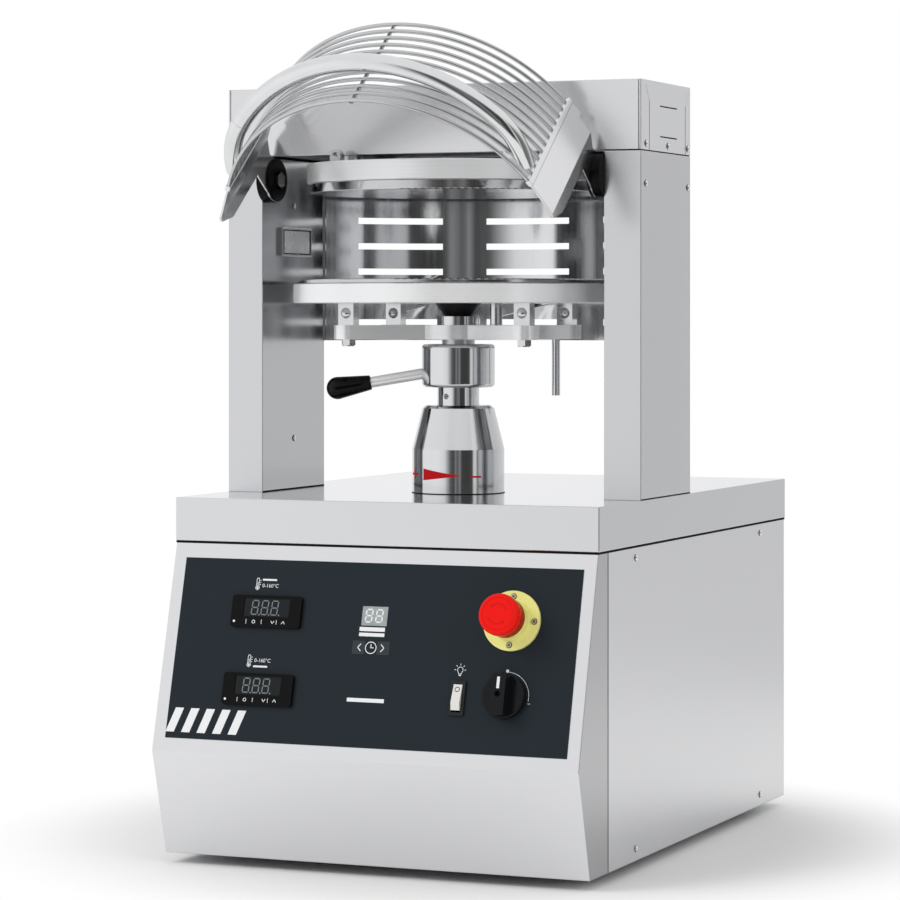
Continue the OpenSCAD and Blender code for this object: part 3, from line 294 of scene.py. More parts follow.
fascia_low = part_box("front_fascia")[0]
panel_place = (
    Matrix.Translation((0, fascia_low.y, fascia_low.z + CREASE_H * MM))
    @ Matrix.Rotation(math.radians(90 - PANEL_TILT), 4, "X")
    @ Matrix.Scale(MM, 4)
)


def make_piece(name, bm, place, finish, body):
    bmesh.ops.transform(bm, matrix=place, verts=bm.verts)
    bmesh.ops.recalc_face_normals(bm, faces=bm.faces)
    mesh = bpy.data.meshes.new(name)
    bm.to_mesh(mesh)
    bm.free()
    mesh.shade_smooth()
    mesh.set_sharp_from_angle(angle=SMOOTH_LIMIT)
    mesh.materials.append(finish)
    piece = bpy.data.objects.new(name, mesh)
    bpy.context.scene.collection.objects.link(piece)
    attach(piece, body)
    return piece


def ink_bar(bm, x0, x1, s0, s1, lean=0.0):
    made = bmesh.ops.create_grid(bm, x_segments=1, y_segments=1, size=0.5)
    slant = Matrix(((1, lean, 0, 0), (0, 1, 0, 0), (0, 0, 1, 0), (0, 0, 0, 1)))
    middle = Matrix.Translation(((x0 + x1) / 2, (s0 + s1) / 2, 0))
    size = Matrix.Diagonal((x1 - x0, s1 - s0, 1, 1))
    bmesh.ops.transform(bm, matrix=middle @ slant @ size, verts=made["verts"])


def ink_stroke(bm, start, end, width):
    run = Vector((end[0] - start[0], end[1] - start[1]))
    made = bmesh.ops.create_grid(bm, x_segments=1, y_segments=1, size=0.5)
    middle = Matrix.Translation(((start[0] + end[0]) / 2, (start[1] + end[1]) / 2, 0))
    turn = Matrix.Rotation(math.atan2(run.y, run.x), 4, "Z")
    size = Matrix.Diagonal((run.length, width, 1, 1))
    bmesh.ops.transform(bm, matrix=middle @ turn @ size, verts=made["verts"])


def ink_ring(bm, x, s, inner, outer, start=0.0, sweep=360.0):
    a = math.radians(start)
    ends = [bm.verts.new((x + r * math.cos(a), s + r * math.sin(a), 0)) for r in (inner, outer)]
    edge = bm.edges.new(ends)
    bmesh.ops.spin(bm, geom=ends + [edge], cent=(x, s, 0), axis=(0, 0, 1), dvec=(0, 0, 0),
                   angle=math.radians(sweep), steps=max(8, int(abs(sweep) / 9)), use_merge=sweep >= 360)


def ink_disc(bm, x, s, r):
    middle = Matrix.Translation((x, s, 0))
    bmesh.ops.create_circle(bm, cap_ends=True, segments=28, radius=r, matrix=middle)


def raise_faces(bm, faces, height):
    raised = bmesh.ops.extrude_face_region(bm, geom=faces)
    tops = [v for v in raised["geom"] if isinstance(v, bmesh.types.BMVert)]
    bmesh.ops.translate(bm, vec=(0, 0, height), verts=tops)


def print_on_panel(name, bm, finish, height=OVERLAY_T + INK_LIFT):
    raise_faces(bm, list(bm.faces), INK_T)
    place = panel_place @ Matrix.Translation((0, 0, height))
    return make_piece(name, bm, place, finish, "base")


white_ink, tree, shader = start_finish("white_ink", (0.86, 0.87, 0.88), 0.0, 0.5, 0.3)
dots = speckle(tree, EVEN, 1500, 1.0)
tint(tree, shader, dots, (0.8, 0.81, 0.82), (0.87, 0.88, 0.89))
vary_sheen(tree, shader, dots, 0.45, 0.6)

# Thermometer marks, a bar and a range of degrees above each of the two temperature controllers.
# Printed on the overlay in the same white ink; the bar says which of the two platens is meant.
THERMOMETER_X = -129
bm = bmesh.new()
for bulb_s, bar_s in ((163.6, 173.0), (87.2, 87.0)):
    tube_end = bulb_s + 9.6
    ink_ring(bm, THERMOMETER_X, bulb_s + 1.2, 1.6, 2.2, 120, 300)
    ink_disc(bm, THERMOMETER_X, bulb_s + 1.2, 1.1)
    ink_bar(bm, THERMOMETER_X - 1.6, THERMOMETER_X - 1.0, bulb_s + 2.8, tube_end)
    ink_bar(bm, THERMOMETER_X + 1.0, THERMOMETER_X + 1.6, bulb_s + 2.8, tube_end)
    ink_ring(bm, THERMOMETER_X, tube_end, 1.0, 1.6, 0, 180)
    ink_bar(bm, THERMOMETER_X - 0.3, THERMOMETER_X + 0.3, bulb_s + 2.0, bulb_s + 7.0)
    for k in range(3):
        ink_bar(bm, THERMOMETER_X + 2.1, THERMOMETER_X + 3.4, bulb_s + 4.0 + 2.2 * k, bulb_s + 4.6 + 2.2 * k)
    ink_bar(bm, THERMOMETER_X + 5.0, THERMOMETER_X + 20.3, bar_s - 0.9, bar_s + 0.9)
print_on_panel("thermometer_marks", bm, white_ink)


def panel_text(name, words, x, s, size, finish):
    letters = bpy.data.curves.new(name + "_letters", "FONT")
    letters.body = words
    letters.size = size
    letters.align_x = "CENTER"
    letters.extrude = INK_T / 2
    letters.resolution_u = 3
    drawn = bpy.data.objects.new(name + "_letters", letters)
    bpy.context.scene.collection.objects.link(drawn)
    bpy.context.view_layer.update()
    depsgraph = bpy.context.evaluated_depsgraph_get()
    mesh = bpy.data.meshes.new_from_object(drawn.evaluated_get(depsgraph))
    bpy.data.objects.remove(drawn)
    bm = bmesh.new()
    bm.from_mesh(mesh)
    bmesh.ops.remove_doubles(bm, verts=bm.verts, dist=0.0005)
    place = panel_place @ Matrix.Translation((x, s, OVERLAY_T + INK_LIFT + INK_T / 2))
    return make_piece(name, bm, place, finish, "base")


RANGE_SIZE = 5.2
panel_text("range_upper", "0-160°C", -115.0, 165.4, RANGE_SIZE, white_ink)
panel_text("range_lower", "0-160°C", -114.6, 91.2, RANGE_SIZE, white_ink)

# Two white bars and the key marks of the timer, with a single bar lower down the middle.
# Printed white: an arrow on each touch key, and a clock face between the keys.
CLOCK_X, KEY_S = -0.6, 110
bm = bmesh.new()
ink_bar(bm, -14.5, 12.3, 126.0, 130.0)
ink_bar(bm, -14.5, 12.3, 121.0, 124.4)
ink_bar(bm, -20.0, 19.0, 57.0, 60.7)
for tip_x, tail_x in ((-14.5, -11.2), (13.2, 9.9)):
    for rise in (3.6, -3.6):
        ink_stroke(bm, (tip_x, KEY_S), (tail_x, KEY_S + rise), 0.9)
ink_ring(bm, CLOCK_X, KEY_S, 5.2, 6.0)
ink_stroke(bm, (CLOCK_X, KEY_S - 0.3), (CLOCK_X, KEY_S + 3.6), 0.8)
ink_stroke(bm, (CLOCK_X - 0.3, KEY_S), (CLOCK_X + 2.9, KEY_S), 0.8)
print_on_panel("timer_marks", bm, white_ink)

# Touch keys of the timer: thin grey frames with a tint inside that shows where to press.
# Both are printed under the white marks, and the tint is a fine check of two dark inks.
KEY_SPANS = ((-20.0, -7.4), (6.2, 18.8))
KEY_LOW, KEY_HIGH = 104.0, 116.0
KEY_LINE = 0.4
grey_ink, tree, shader = start_finish("grey_ink", (0.05, 0.055, 0.06), 0.0, 0.5, 0.2)
tint(tree, shader, speckle(tree, EVEN, 1500, 1.0), (0.045, 0.05, 0.055), (0.055, 0.06, 0.065))
bm = bmesh.new()
for x0, x1 in KEY_SPANS:
    ink_bar(bm, x0, x1, KEY_HIGH, KEY_HIGH + KEY_LINE)
    ink_bar(bm, x0, x1, KEY_LOW - KEY_LINE, KEY_LOW)
    ink_bar(bm, x0, x0 + KEY_LINE, KEY_LOW, KEY_HIGH)
    ink_bar(bm, x1 - KEY_LINE, x1, KEY_LOW, KEY_HIGH)
print_on_panel("touch_key_frames", bm, grey_ink)
tint_ink, tree, shader = start_finish("tint_ink", (0.036, 0.045, 0.051), 0.0, 0.45, 0.16)
check = add_node(tree, "ShaderNodeTexChecker", Scale=1.0)
check.inputs["Color1"].default_value = (0.05, 0.061, 0.068, 1)
check.inputs["Color2"].default_value = (0.022, 0.029, 0.034, 1)
tree.links.new(object_map(tree, (1400, 1400, 1400)), check.inputs["Vector"])
tree.links.new(check.outputs["Color"], shader.inputs["Base Color"])
bm = bmesh.new()
for x0, x1 in KEY_SPANS:
    ink_bar(bm, x0 + KEY_LINE, x1 - KEY_LINE, KEY_LOW, KEY_HIGH)
print_on_panel("touch_key_pads", bm, tint_ink, OVERLAY_T - 0.02)

# Bulb mark above the lamp's rocker, and the selector's start dot, turning arc and end tick.
# All printed on the overlay in white, with fine strokes.
ROCKER_X, ROCKER_S = 95, 65
KNOB_X, KNOB_S = 143.5, 68.5
BULB_S = 92.4
bm = bmesh.new()
ink_ring(bm, ROCKER_X, BULB_S, 2.5, 3.05, -50, 280)
ink_bar(bm, ROCKER_X - 1.7, ROCKER_X + 1.7, 88.0, 88.7)
ink_bar(bm, ROCKER_X - 1.2, ROCKER_X + 1.2, 86.6, 87.4)
for side in (-1, 1):
    ink_stroke(bm, (ROCKER_X + side * 1.9, 90.2), (ROCKER_X + side * 1.2, 88.6), 0.55)
for turn in (0, 45, 90, 135, 180):
    ray = Vector((math.cos(math.radians(turn)), math.sin(math.radians(turn))))
    bulb = Vector((ROCKER_X, BULB_S))
    ink_stroke(bm, bulb + 4.3 * ray, bulb + 6.0 * ray, 0.6)
ink_disc(bm, KNOB_X, KNOB_S + 24.7, 1.5)
ink_ring(bm, KNOB_X, KNOB_S, 23.7, 24.1, -8, 98)
ink_bar(bm, KNOB_X + 23.1, KNOB_X + 25.7, KNOB_S - 5.8, KNOB_S - 5.3)
print_on_panel("lamp_and_dial_marks", bm, white_ink)

# Row of slanted white bars in the panel's lower left corner: a plain printed ornament.
# Five equal bars in the same ink, cut off level at the top and the bottom.
BAR_PITCH, BAR_W = 17, 9
bm = bmesh.new()
for k in range(5):
    left = -207 + BAR_PITCH * k
    ink_bar(bm, left, left + BAR_W, 19.0, 43.0, lean=0.35)
print_on_panel("corner_bars", bm, white_ink)

# Temperature controllers: glossy black moulded cases, clipped into the panel's openings.
# A smoked lens covers three unlit digits, and below it a row of small key marks is printed on the case.
CASE_ROWS = (141, 64)
LENS_FACE = OVERLAY_T + 3
CASE_FACE = OVERLAY_T + 4
DIGIT_PITCH = 10.6
gloss_black, tree, shader = start_finish("gloss_black", (0.003, 0.003, 0.003), 0.0, 0.1, 0.1)
haze = speckle(tree, EVEN, 60, 1.0)
tint(tree, shader, haze, (0.003, 0.003, 0.003), (0.004, 0.004, 0.004))
vary_sheen(tree, shader, haze, 0.07, 0.12)
coat_nodes(gloss_black, "temperature_controllers")

case_low, case_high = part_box("temperature_controllers")
case_x = (case_low.x + case_high.x) / 2 / MM
smoked_lens = moulded("smoked_lens", (0.0065, 0.0095, 0.011), 0.1, 0.2)
bm = bmesh.new()
for row_s in CASE_ROWS:
    ink_bar(bm, case_x - 24.6, case_x + 24.6, row_s - 5.3, row_s + 12.9)
print_on_panel("controller_lenses", bm, smoked_lens, LENS_FACE - 0.03)


def segment_digit(bm, x, s, w, h, stroke):
    half = h / 2
    gap = 0.6 * stroke
    slope = 0.08
    for row in (0, half, h):
        shift = slope * row
        ink_bar(bm, x + gap + shift, x + w - gap + shift, s + row - stroke / 2, s + row + stroke / 2)
    for side in (0, w):
        for base in (0, half):
            shift = slope * (base + half / 2)
            ink_bar(bm, x + side - stroke / 2 + shift, x + side + stroke / 2 + shift,
                    s + base + gap, s + base + half - gap, lean=slope)


unlit, tree, shader = start_finish("unlit_segments", (0.2, 0.22, 0.23), 0.0, 0.4, 0.2)
tint(tree, shader, speckle(tree, EVEN, 700, 1.0), (0.18, 0.2, 0.21), (0.22, 0.24, 0.25))
bm = bmesh.new()
for row_s in CASE_ROWS:
    for k in range(3):
        segment_digit(bm, -131.5 + DIGIT_PITCH * k, row_s - 3.2, 6.6, 13.8, 1.1)
        ink_disc(bm, -122.6 + DIGIT_PITCH * k, row_s - 3.4, 0.8)
print_on_panel("controller_digits", bm, unlit, LENS_FACE + 0.02)
bm = bmesh.new()
for row_s in CASE_ROWS:
    key_s = row_s - 10.6
    for x in (-135.4, -118.8, -102.5):
        ink_bar(bm, x - 0.25, x + 0.25, key_s - 2.2, key_s + 2.2)
    ink_disc(bm, -148.6, key_s, 1.2)
    ink_ring(bm, -127.3, key_s, 1.2, 1.8)
    for tip_x, rise in ((-106.8, -1.4), (-95.3, 1.4)):
        for side in (-1.8, 1.8):
            ink_stroke(bm, (tip_x + side, key_s - rise), (tip_x, key_s + rise), 0.6)
print_on_panel("controller_keys", bm, white_ink, CASE_FACE + 0.02)

# Timer: a two-digit display on a circuit board behind the overlay's window.
# A pale grey moulded face, with white segments let in flush.
display, tree, shader = start_finish("timer_face", (0.3, 0.33, 0.32), 0.0, 0.25)
glow = speckle(tree, EVEN, 120, 1.0)
tint(tree, shader, glow, (0.3, 0.345, 0.333), (0.35, 0.4, 0.387))
vary_sheen(tree, shader, glow, 0.2, 0.32)
coat_nodes(display, "timer_display")
bm = bmesh.new()
for x in (-9.6, 1.2):
    segment_digit(bm, x, 135.2, 6.4, 12.2, 1.4)
print_on_panel("timer_digits", bm, white_ink, OVERLAY_T - 0.29)

# Emergency stop: a pale yellow collar with a raised ring, held on the panel by four cross-head screws.
# In it slides a red moulded mushroom cap with a skirt and two raised arrows that show its twist; the skirt's
# darker red is painted shade on the cap's side.
ESTOP_X, ESTOP_S = 143.5, 141.1
SCREW_CIRCLE = 23.4
SLOT_SHADE_AREA = 4e-6
estop_place = panel_place @ Matrix.Translation((ESTOP_X, ESTOP_S, 0))
collar_yellow = moulded("collar_yellow", (0.85, 0.82, 0.29), 0.35, 0.35)
coat_nodes(collar_yellow, "estop_collar")
coat_nodes(black_nylon, "estop_stem")
cap_red = moulded("cap_red", (0.85, 0.007, 0.004), 0.24, 0.13)
coat_nodes(cap_red, "estop_cap")
relief_red = moulded("relief_red", (0.66, 0.006, 0.004), 0.3, 0.13)
bm = bmesh.new()
for inner, outer, start, sweep in ((15.2, 16.0, 0, 360), (9.0, 10.4, 20, 105), (9.0, 10.4, 200, 105)):
    ink_ring(bm, 0, 0, inner, outer, start, sweep)
for turn in (125, 305):
    a = math.radians(turn)
    points = ((7.6, a), (11.8, a), (9.7, a + 0.34))
    bm.faces.new([bm.verts.new((r * math.cos(b), r * math.sin(b), 0)) for r, b in points])
bmesh.ops.recalc_face_normals(bm, faces=bm.faces)
raise_faces(bm, list(bm.faces), 0.35)
cap_face = max((panel_place.inverted() @ v.co).z for v in nodes["estop_cap"].data.vertices)
arrows_place = estop_place @ Matrix.Translation((0, 0, cap_face - 0.25))
make_piece("cap_arrows", bm, arrows_place, relief_red, "estop_cap")


def turned_ring(bm, profile, steps):
    outline = [bm.verts.new((r, 0, z)) for r, z in profile]
    edges = [bm.edges.new(pair) for pair in zip(outline, outline[1:] + outline[:1])]
    bmesh.ops.spin(bm, geom=outline + edges, cent=(0, 0, 0), axis=(0, 0, 1), dvec=(0, 0, 0),
                   angle=math.tau, steps=steps, use_merge=True)


# The skirt is a darker red than the cap: painted shade on the cap's side.
painted_shade_skirt_red = moulded("painted_shade_skirt_red", (0.4, 0.004, 0.003), 0.35, 0.1)
bm = bmesh.new()
turned_ring(bm, [(17.4, 17.4), (18.7, 17.4), (19.2, 17.9), (19.2, 30.0), (17.4, 30.0)], 64)
make_piece("cap_skirt", bm, estop_place, painted_shade_skirt_red, "estop_cap")
bm = bmesh.new()
turned_ring(bm, [(17.05, 3.7), (20.1, 3.7), (20.1, 7.4), (19.5, 8.2), (17.05, 8.2)], 64)
make_piece("collar_bezel", bm, estop_place, collar_yellow, "base")
yellow_zinc, tree, shader = start_finish("yellow_zinc", (0.6, 0.58, 0.36), 0.5, 0.4)
tint(tree, shader, speckle(tree, EVEN, 900, 1.0), (0.52, 0.5, 0.3), (0.68, 0.66, 0.42))
bm = bmesh.new()
for turn in range(4):
    a = math.radians(90 * turn)
    head = Matrix.Translation((ESTOP_X + SCREW_CIRCLE * math.cos(a), ESTOP_S + SCREW_CIRCLE * math.sin(a),
                               OVERLAY_T + 3.4))
    bmesh.ops.create_cone(bm, cap_ends=True, segments=20, radius1=3.2, radius2=2.5, depth=0.9, matrix=head)
    # Each cross is two thin boxes standing on the head: painted shade of the cross recess.
    for slot_turn in (45, 135):
        cut = head @ Matrix.Rotation(math.radians(slot_turn), 4, "Z") @ Matrix.Translation((0, 0, 0.47))
        bmesh.ops.create_cube(bm, size=1, matrix=cut @ Matrix.Diagonal((3.6, 0.8, 0.06, 1)))
collar_screws = make_piece("collar_screws", bm, panel_place, yellow_zinc, "base")
collar_screws.data.materials.append(black_nylon)
# The small quads of the crosses take the black nylon: painted shade in the recesses.
for face in collar_screws.data.polygons:
    face.material_index = 1 if len(face.vertices) == 4 and face.area < SLOT_SHADE_AREA else 0

# Selector knob: a black moulded knob with a grip bar, pushed on the shaft of a nylon switch block.
# A white pointer is let into the bar, and a flat matt black disc over the hole of the clamping screw is
# painted shade in the hole.
KNOB_FACE = OVERLAY_T + 21.3
knob_black = moulded("knob_black", (0.005, 0.006, 0.007), 0.2, 0.16)
coat_nodes(knob_black, "selector_knob")
coat_nodes(black_nylon, "selector_switch")
bm = bmesh.new()
ink_bar(bm, KNOB_X - 1.4, KNOB_X + 1.4, KNOB_S + 5, KNOB_S + 16)
pointer = print_on_panel("knob_pointer", bm, white_ink, KNOB_FACE + 0.02)
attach(pointer, "selector")
# Near-black matt disc at the knob's middle: painted shade of the screw hole.
hole_shade_black = moulded("hole_shade_black", (0.0005, 0.0005, 0.0005), 0.7, 0.02)
bm = bmesh.new()
ink_ring(bm, KNOB_X, KNOB_S, 2.5, 3.1)
ink_disc(bm, KNOB_X, KNOB_S, 2.2)
hole_shade = print_on_panel("knob_hole_shade", bm, hole_shade_black, KNOB_FACE + 0.01)
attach(hole_shade, "selector")

# Lamp rocker: an ivory moulded paddle that tips in a black nylon frame, clipped into the panel.
# A ring is printed at the paddle's off end, on the slope that the paddle has at rest.
ROCKER_REST = -8
PADDLE_SLOPE = -4.4
ivory = moulded("ivory_paddle", (0.74, 0.735, 0.705), 0.28, 0.4)
coat_nodes(ivory, "rocker")
coat_nodes(black_nylon, "rocker_frame")
bm = bmesh.new()
ink_ring(bm, 0, 0, 1.9, 2.6)
raise_faces(bm, list(bm.faces), INK_T)
paddle_face = (
    Matrix.Translation((ROCKER_X, ROCKER_S, OVERLAY_T - 1.5))
    @ Matrix.Rotation(math.radians(ROCKER_REST), 4, "X")
    @ Matrix.Translation((0, 7.5, 5.62))
    @ Matrix.Rotation(math.radians(PADDLE_SLOPE), 4, "X")
)
make_piece("rocker_ring", bm, panel_place @ paddle_face, black_nylon, "rocker")

# Columns and head: stainless sheet folded and welded, with upright brushing on the columns.
# The head's cover and caps are screwed round the beam; the lamp's housing and the mounts match them.
COLUMN_EASE = 0.0007
# The columns' sideways faces are darker in colour than their fronts: painted shade.
column_steel = brushed_steel("column_steel", (0.635, 0.64, 0.651), 0.25, 0.27,
                             (1, 700, 5), (700, 1, 5), painted_side_shade=0.86, side_polish=0.12)
coat_nodes(column_steel, "left_column", "right_column")
ease_edges(COLUMN_EASE, "left_column", "right_column", "head_cover")
head_steel = brushed_steel("head_steel", (0.7, 0.703, 0.71), 0.2, 0.22, (1, 5, 700), (5, 700, 700))
coat_nodes(head_steel, "head_cover", "head_end_caps", "lamp_housing", "upper_platen_mounts")

# Black foam strips in the joint between the lid's skirt and the body, behind the fascia's edges,
# and round the columns' feet and tops: painted shade of these gaps of about a millimetre,
# so they read as a dark line. The same black foam is also used for the real seals further on.
LID_GAP_SHADE_H = 2.2 * MM
gasket_and_gap_shade = moulded("gap_shade_and_seal_foam", (0.006, 0.006, 0.006), 0.8, 0.1)


def flat_frame(bm, low, high, height, band):
    made = bmesh.ops.create_grid(bm, x_segments=1, y_segments=1, size=0.5)
    middle = Matrix.Translation(((low[0] + high[0]) / 2, (low[1] + high[1]) / 2, low[2]))
    size = Matrix.Diagonal((high[0] - low[0], high[1] - low[1], 1, 1))
    bmesh.ops.transform(bm, matrix=middle @ size, verts=made["verts"])
    sheet = [f for f in bm.faces if all(v in made["verts"] for v in f.verts)]
    bmesh.ops.inset_region(bm, faces=sheet, use_boundary=True, thickness=band)
    bmesh.ops.delete(bm, geom=sheet, context="FACES")
    ring = [f for f in bm.faces if all(abs(v.co.z - low[2]) < 1e-6 for v in f.verts)]
    raise_faces(bm, ring, height)


lid_low, lid_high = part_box("top_lid")
side_low, side_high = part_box("right_side_panel")
lid_shade_x = side_high.x + 0.6 * MM
bm = bmesh.new()
flat_frame(bm, (-lid_shade_x, lid_low.y + 0.35 * MM, lid_low.z - LID_GAP_SHADE_H),
           (lid_shade_x, lid_high.y - 0.35 * MM), LID_GAP_SHADE_H - 0.02 * MM, 3 * MM)
make_piece("lid_gap_shade", bm, Matrix.Identity(4), gasket_and_gap_shade, "base")
# Upright black strips at the fascia's side edges: painted shade of the joint.
joint_x = side_high.x - 0.4 * MM
joint_size = Matrix.Diagonal((1.1 * MM, 1.3 * MM, side_high.z - side_low.z - 1 * MM, 1))
bm = bmesh.new()
for side in (-1, 1):
    strip = Matrix.Translation((side * joint_x, side_low.y - 0.25 * MM, (side_low.z + side_high.z) / 2))
    bmesh.ops.create_cube(bm, size=1, matrix=strip @ joint_size)
make_piece("fascia_joint_shade", bm, Matrix.Identity(4), gasket_and_gap_shade, "base")
# Black rings round each column's foot and top: painted shade of the seams.
for name in ("left_column", "right_column"):
    foot_low, foot_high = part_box(name)
    bm = bmesh.new()
    flat_frame(bm, (foot_low.x - 0.25 * MM, foot_low.y + 0.3 * MM, foot_low.z + 0.01 * MM),
               (foot_high.x + 0.25 * MM, foot_high.y - 0.3 * MM), 1.2 * MM, 1 * MM)
    flat_frame(bm, (foot_low.x + 0.5 * MM, foot_low.y - 0.1 * MM, foot_high.z - 0.9 * MM),
               (foot_high.x - 0.5 * MM, foot_high.y + 0.1 * MM), 0.8 * MM, 1 * MM)
    make_piece(name + "_seam_shade", bm, Matrix.Identity(4), gasket_and_gap_shade, "base")

# Lamp window in the left column: toughened glass over the bulb's recess, a little smeared by steam.
# A black rubber seal holds it in the lamp's housing and stands round it as a thin frame.
SEAL_LAP = 0.9 * MM
lamp_glass, tree, shader = start_finish("lamp_glass", (0.95, 0.97, 0.98), 0.6, 0.3, 0.8)
shader.inputs["Transmission Weight"].default_value = 0.05
shader.inputs["IOR"].default_value = 1.5
vary_sheen(tree, shader, speckle(tree, EVEN, 60, 1.0), 0.25, 0.35)
coat_nodes(lamp_glass, "lamp_glass")
glass_low, glass_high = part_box("lamp_glass")
lamp_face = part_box("lamp_housing")[1].x
seal_place = Matrix(((0, 0, 1, lamp_face - 0.05 * MM), (1, 0, 0, 0), (0, 1, 0, 0), (0, 0, 0, 1)))
bm = bmesh.new()
flat_frame(bm, (glass_low.y - SEAL_LAP, glass_low.z - SEAL_LAP, 0),
           (glass_high.y + SEAL_LAP, glass_high.z + SEAL_LAP), 0.35 * MM, 1.6 * MM)
make_piece("lamp_seal", bm, seal_place, gasket_and_gap_shade, "base")

# Curved rear guard: stainless sheet rolled to a half round and slotted, fixed between the columns.
# Its inner face is polished, with a faint upright grain left from rolling.


def polished_steel(name, color, low, high, stretch, metallic=1.0):
    finish, tree, shader = start_finish(name, color, metallic, high)
    lines = speckle(tree, stretch, 1.0, 2.0)
    darker = [c * 0.96 for c in color]
    tint(tree, shader, lines, darker, color)
    vary_sheen(tree, shader, lines, low, high)
    relief(tree, shader, lines, 0.006, 0.0002)
    return finish


mirror_sheet = polished_steel("mirror_sheet", (0.7, 0.71, 0.72), 0.08, 0.14, (300, 300, 3))
coat_nodes(mirror_sheet, "back_guard")

# Dome-head screws that hold the side panels, the columns' plates and the head's caps: bright steel.
# All face sideways, and their colour is darkened round the rim, where the dome falls away to the sheet:
# painted shade.
RIM, CROWN = 0.54, 0.9
screw_steel = polished_steel("screw_steel", (0.8, 0.8, 0.8), 0.1, 0.16, (200, 200, 200))
tree = screw_steel.node_tree
facing = add_node(tree, "ShaderNodeNewGeometry")
sideways = add_node(tree, "ShaderNodeVectorMath", operation="ABSOLUTE")
parts = add_node(tree, "ShaderNodeSeparateXYZ")
tree.links.new(facing.outputs["Normal"], sideways.inputs[0])
tree.links.new(sideways.outputs["Vector"], parts.inputs["Vector"])
# Colour runs from near black where the dome turns away to bright steel at its crown: painted shade round the
# rim.
painted_rim_shade = spread(tree, parts.outputs["X"], 0, 1, RIM, CROWN)
tint(tree, tree.nodes["Principled BSDF"], painted_rim_shade, (0.06, 0.06, 0.06), (0.85, 0.85, 0.85))
coat_nodes(screw_steel, "panel_screws")

# Upper and lower platens: turned aluminium discs with heaters let in, faced with steel pressing plates.
# Turning leaves fine rings, which show as flat lines on the rims.
turned_aluminium = polished_steel("turned_aluminium", (0.92, 0.925, 0.93), 0.4, 0.46, (6, 6, 1200), 0.5)
shader = turned_aluminium.node_tree.nodes["Principled BSDF"]
shader.inputs["Anisotropic"].default_value = 0.95
shader.inputs["Anisotropic Rotation"].default_value = 0.25
coat_nodes(turned_aluminium, "upper_platen", "lower_platen")
press_face = polished_steel("press_face", (0.56, 0.565, 0.57), 0.1, 0.16, (60, 60, 900))
coat_nodes(press_face, "upper_press_plate", "lower_press_plate")
sheath, tree, shader = start_finish("heater_sheath", (0.2, 0.16, 0.13), 0.6, 0.55)
scale = speckle(tree, EVEN, 140)
tint(tree, shader, scale, (0.14, 0.11, 0.09), (0.27, 0.21, 0.17))
relief(tree, shader, scale, 0.3, 0.0004)
coat_nodes(sheath, "upper_heater", "lower_heater")

# Piston, its conical housing, the adjusting drum and the carrier: turned, milled and polished steel.
# One short stop is screwed on the carrier's front right arm, and a black rubber cone insulates the nut.
ARM_TURN = math.radians(-32)
STOP_REACH = 0.066
turned_steel = polished_steel("turned_steel", (0.68, 0.69, 0.7), 0.07, 0.13, (10, 10, 1400))
coat_nodes(turned_steel, "piston_housing", "piston", "adjuster_drum", "carrier_nut")
carrier_steel = polished_steel("carrier_steel", (0.66, 0.67, 0.68), 0.08, 0.15, (40, 40, 500))
coat_nodes(carrier_steel, "carrier_standoffs", "carrier_bolts", "lever_stop_rod")
milled_steel = polished_steel("milled_steel", (0.92, 0.925, 0.93), 0.16, 0.22, (60, 60, 700), 0.4)
coat_nodes(milled_steel, "platen_carrier")
cone_rubber = moulded("cone_rubber", (0.006, 0.006, 0.007), 0.45, 0.3)
coat_nodes(cone_rubber, "insulating_cone")


def turned_bar(bm, profile, steps):
    outline = [bm.verts.new((r, 0, z)) for r, z in profile]
    edges = [bm.edges.new(pair) for pair in zip(outline, outline[1:])]
    bmesh.ops.spin(bm, geom=outline + edges, cent=(0, 0, 0), axis=(0, 0, 1), dvec=(0, 0, 0),
                   angle=math.tau, steps=steps, use_merge=True)
    bmesh.ops.remove_doubles(bm, verts=bm.verts, dist=0.001)


platen_low, platen_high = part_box("lower_platen")
stop_x = STOP_REACH * math.cos(ARM_TURN)
stop_y = (platen_low.y + platen_high.y) / 2 + STOP_REACH * math.sin(ARM_TURN)
stop_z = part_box("platen_carrier")[1].z
stop_place = Matrix.Translation((stop_x, stop_y, stop_z)) @ Matrix.Scale(MM, 4)
bm = bmesh.new()
turned_bar(bm, [(0, 0), (6.6, 0), (6.6, 0.6), (6.2, 1.0),
                (6.2, 21.2), (6.6, 21.6), (6.6, 22.4), (0, 22.4)], 32)
make_piece("carrier_short_stop", bm, stop_place, carrier_steel, "platen")

# Setting lever screwed into the drum's side: a polished rod that carries a tapered black grip.
# The grip is moulded in glossy plastic, pushed on the rod up to a small recess at its neck.
LEVER_SLOPE = 9.6
LEVER_TURN = 202.7
LEVER_UP = 13.5
LEVER_REACH = 137
LEVER_R = 5.6
GRIP_R = 11.6
GRIP_L = 46
drum_low, drum_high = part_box("adjuster_drum")
lever_up = LEVER_UP * MM + drum_high.x * math.tan(math.radians(LEVER_SLOPE))
lever_place = (
    Matrix.Translation((0, (drum_low.y + drum_high.y) / 2, drum_low.z + lever_up))
    @ Matrix.Rotation(math.radians(LEVER_TURN), 4, "Z")
    @ Matrix.Rotation(math.radians(90 + LEVER_SLOPE), 4, "Y")
    @ Matrix.Scale(MM, 4)
)
lever_steel = polished_steel("lever_steel", (0.97, 0.972, 0.975), 0.18, 0.24, (40, 40, 500), 0.4)
bm = bmesh.new()
turned_bar(bm, [(0, 29), (LEVER_R, 29), (LEVER_R, 114), (0, 114)], 48)
lever_bar = make_piece("lever_bar", bm, lever_place, lever_steel, "adjuster")
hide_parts("lever_rod")
neck = LEVER_REACH - GRIP_L
crown = LEVER_REACH - GRIP_R
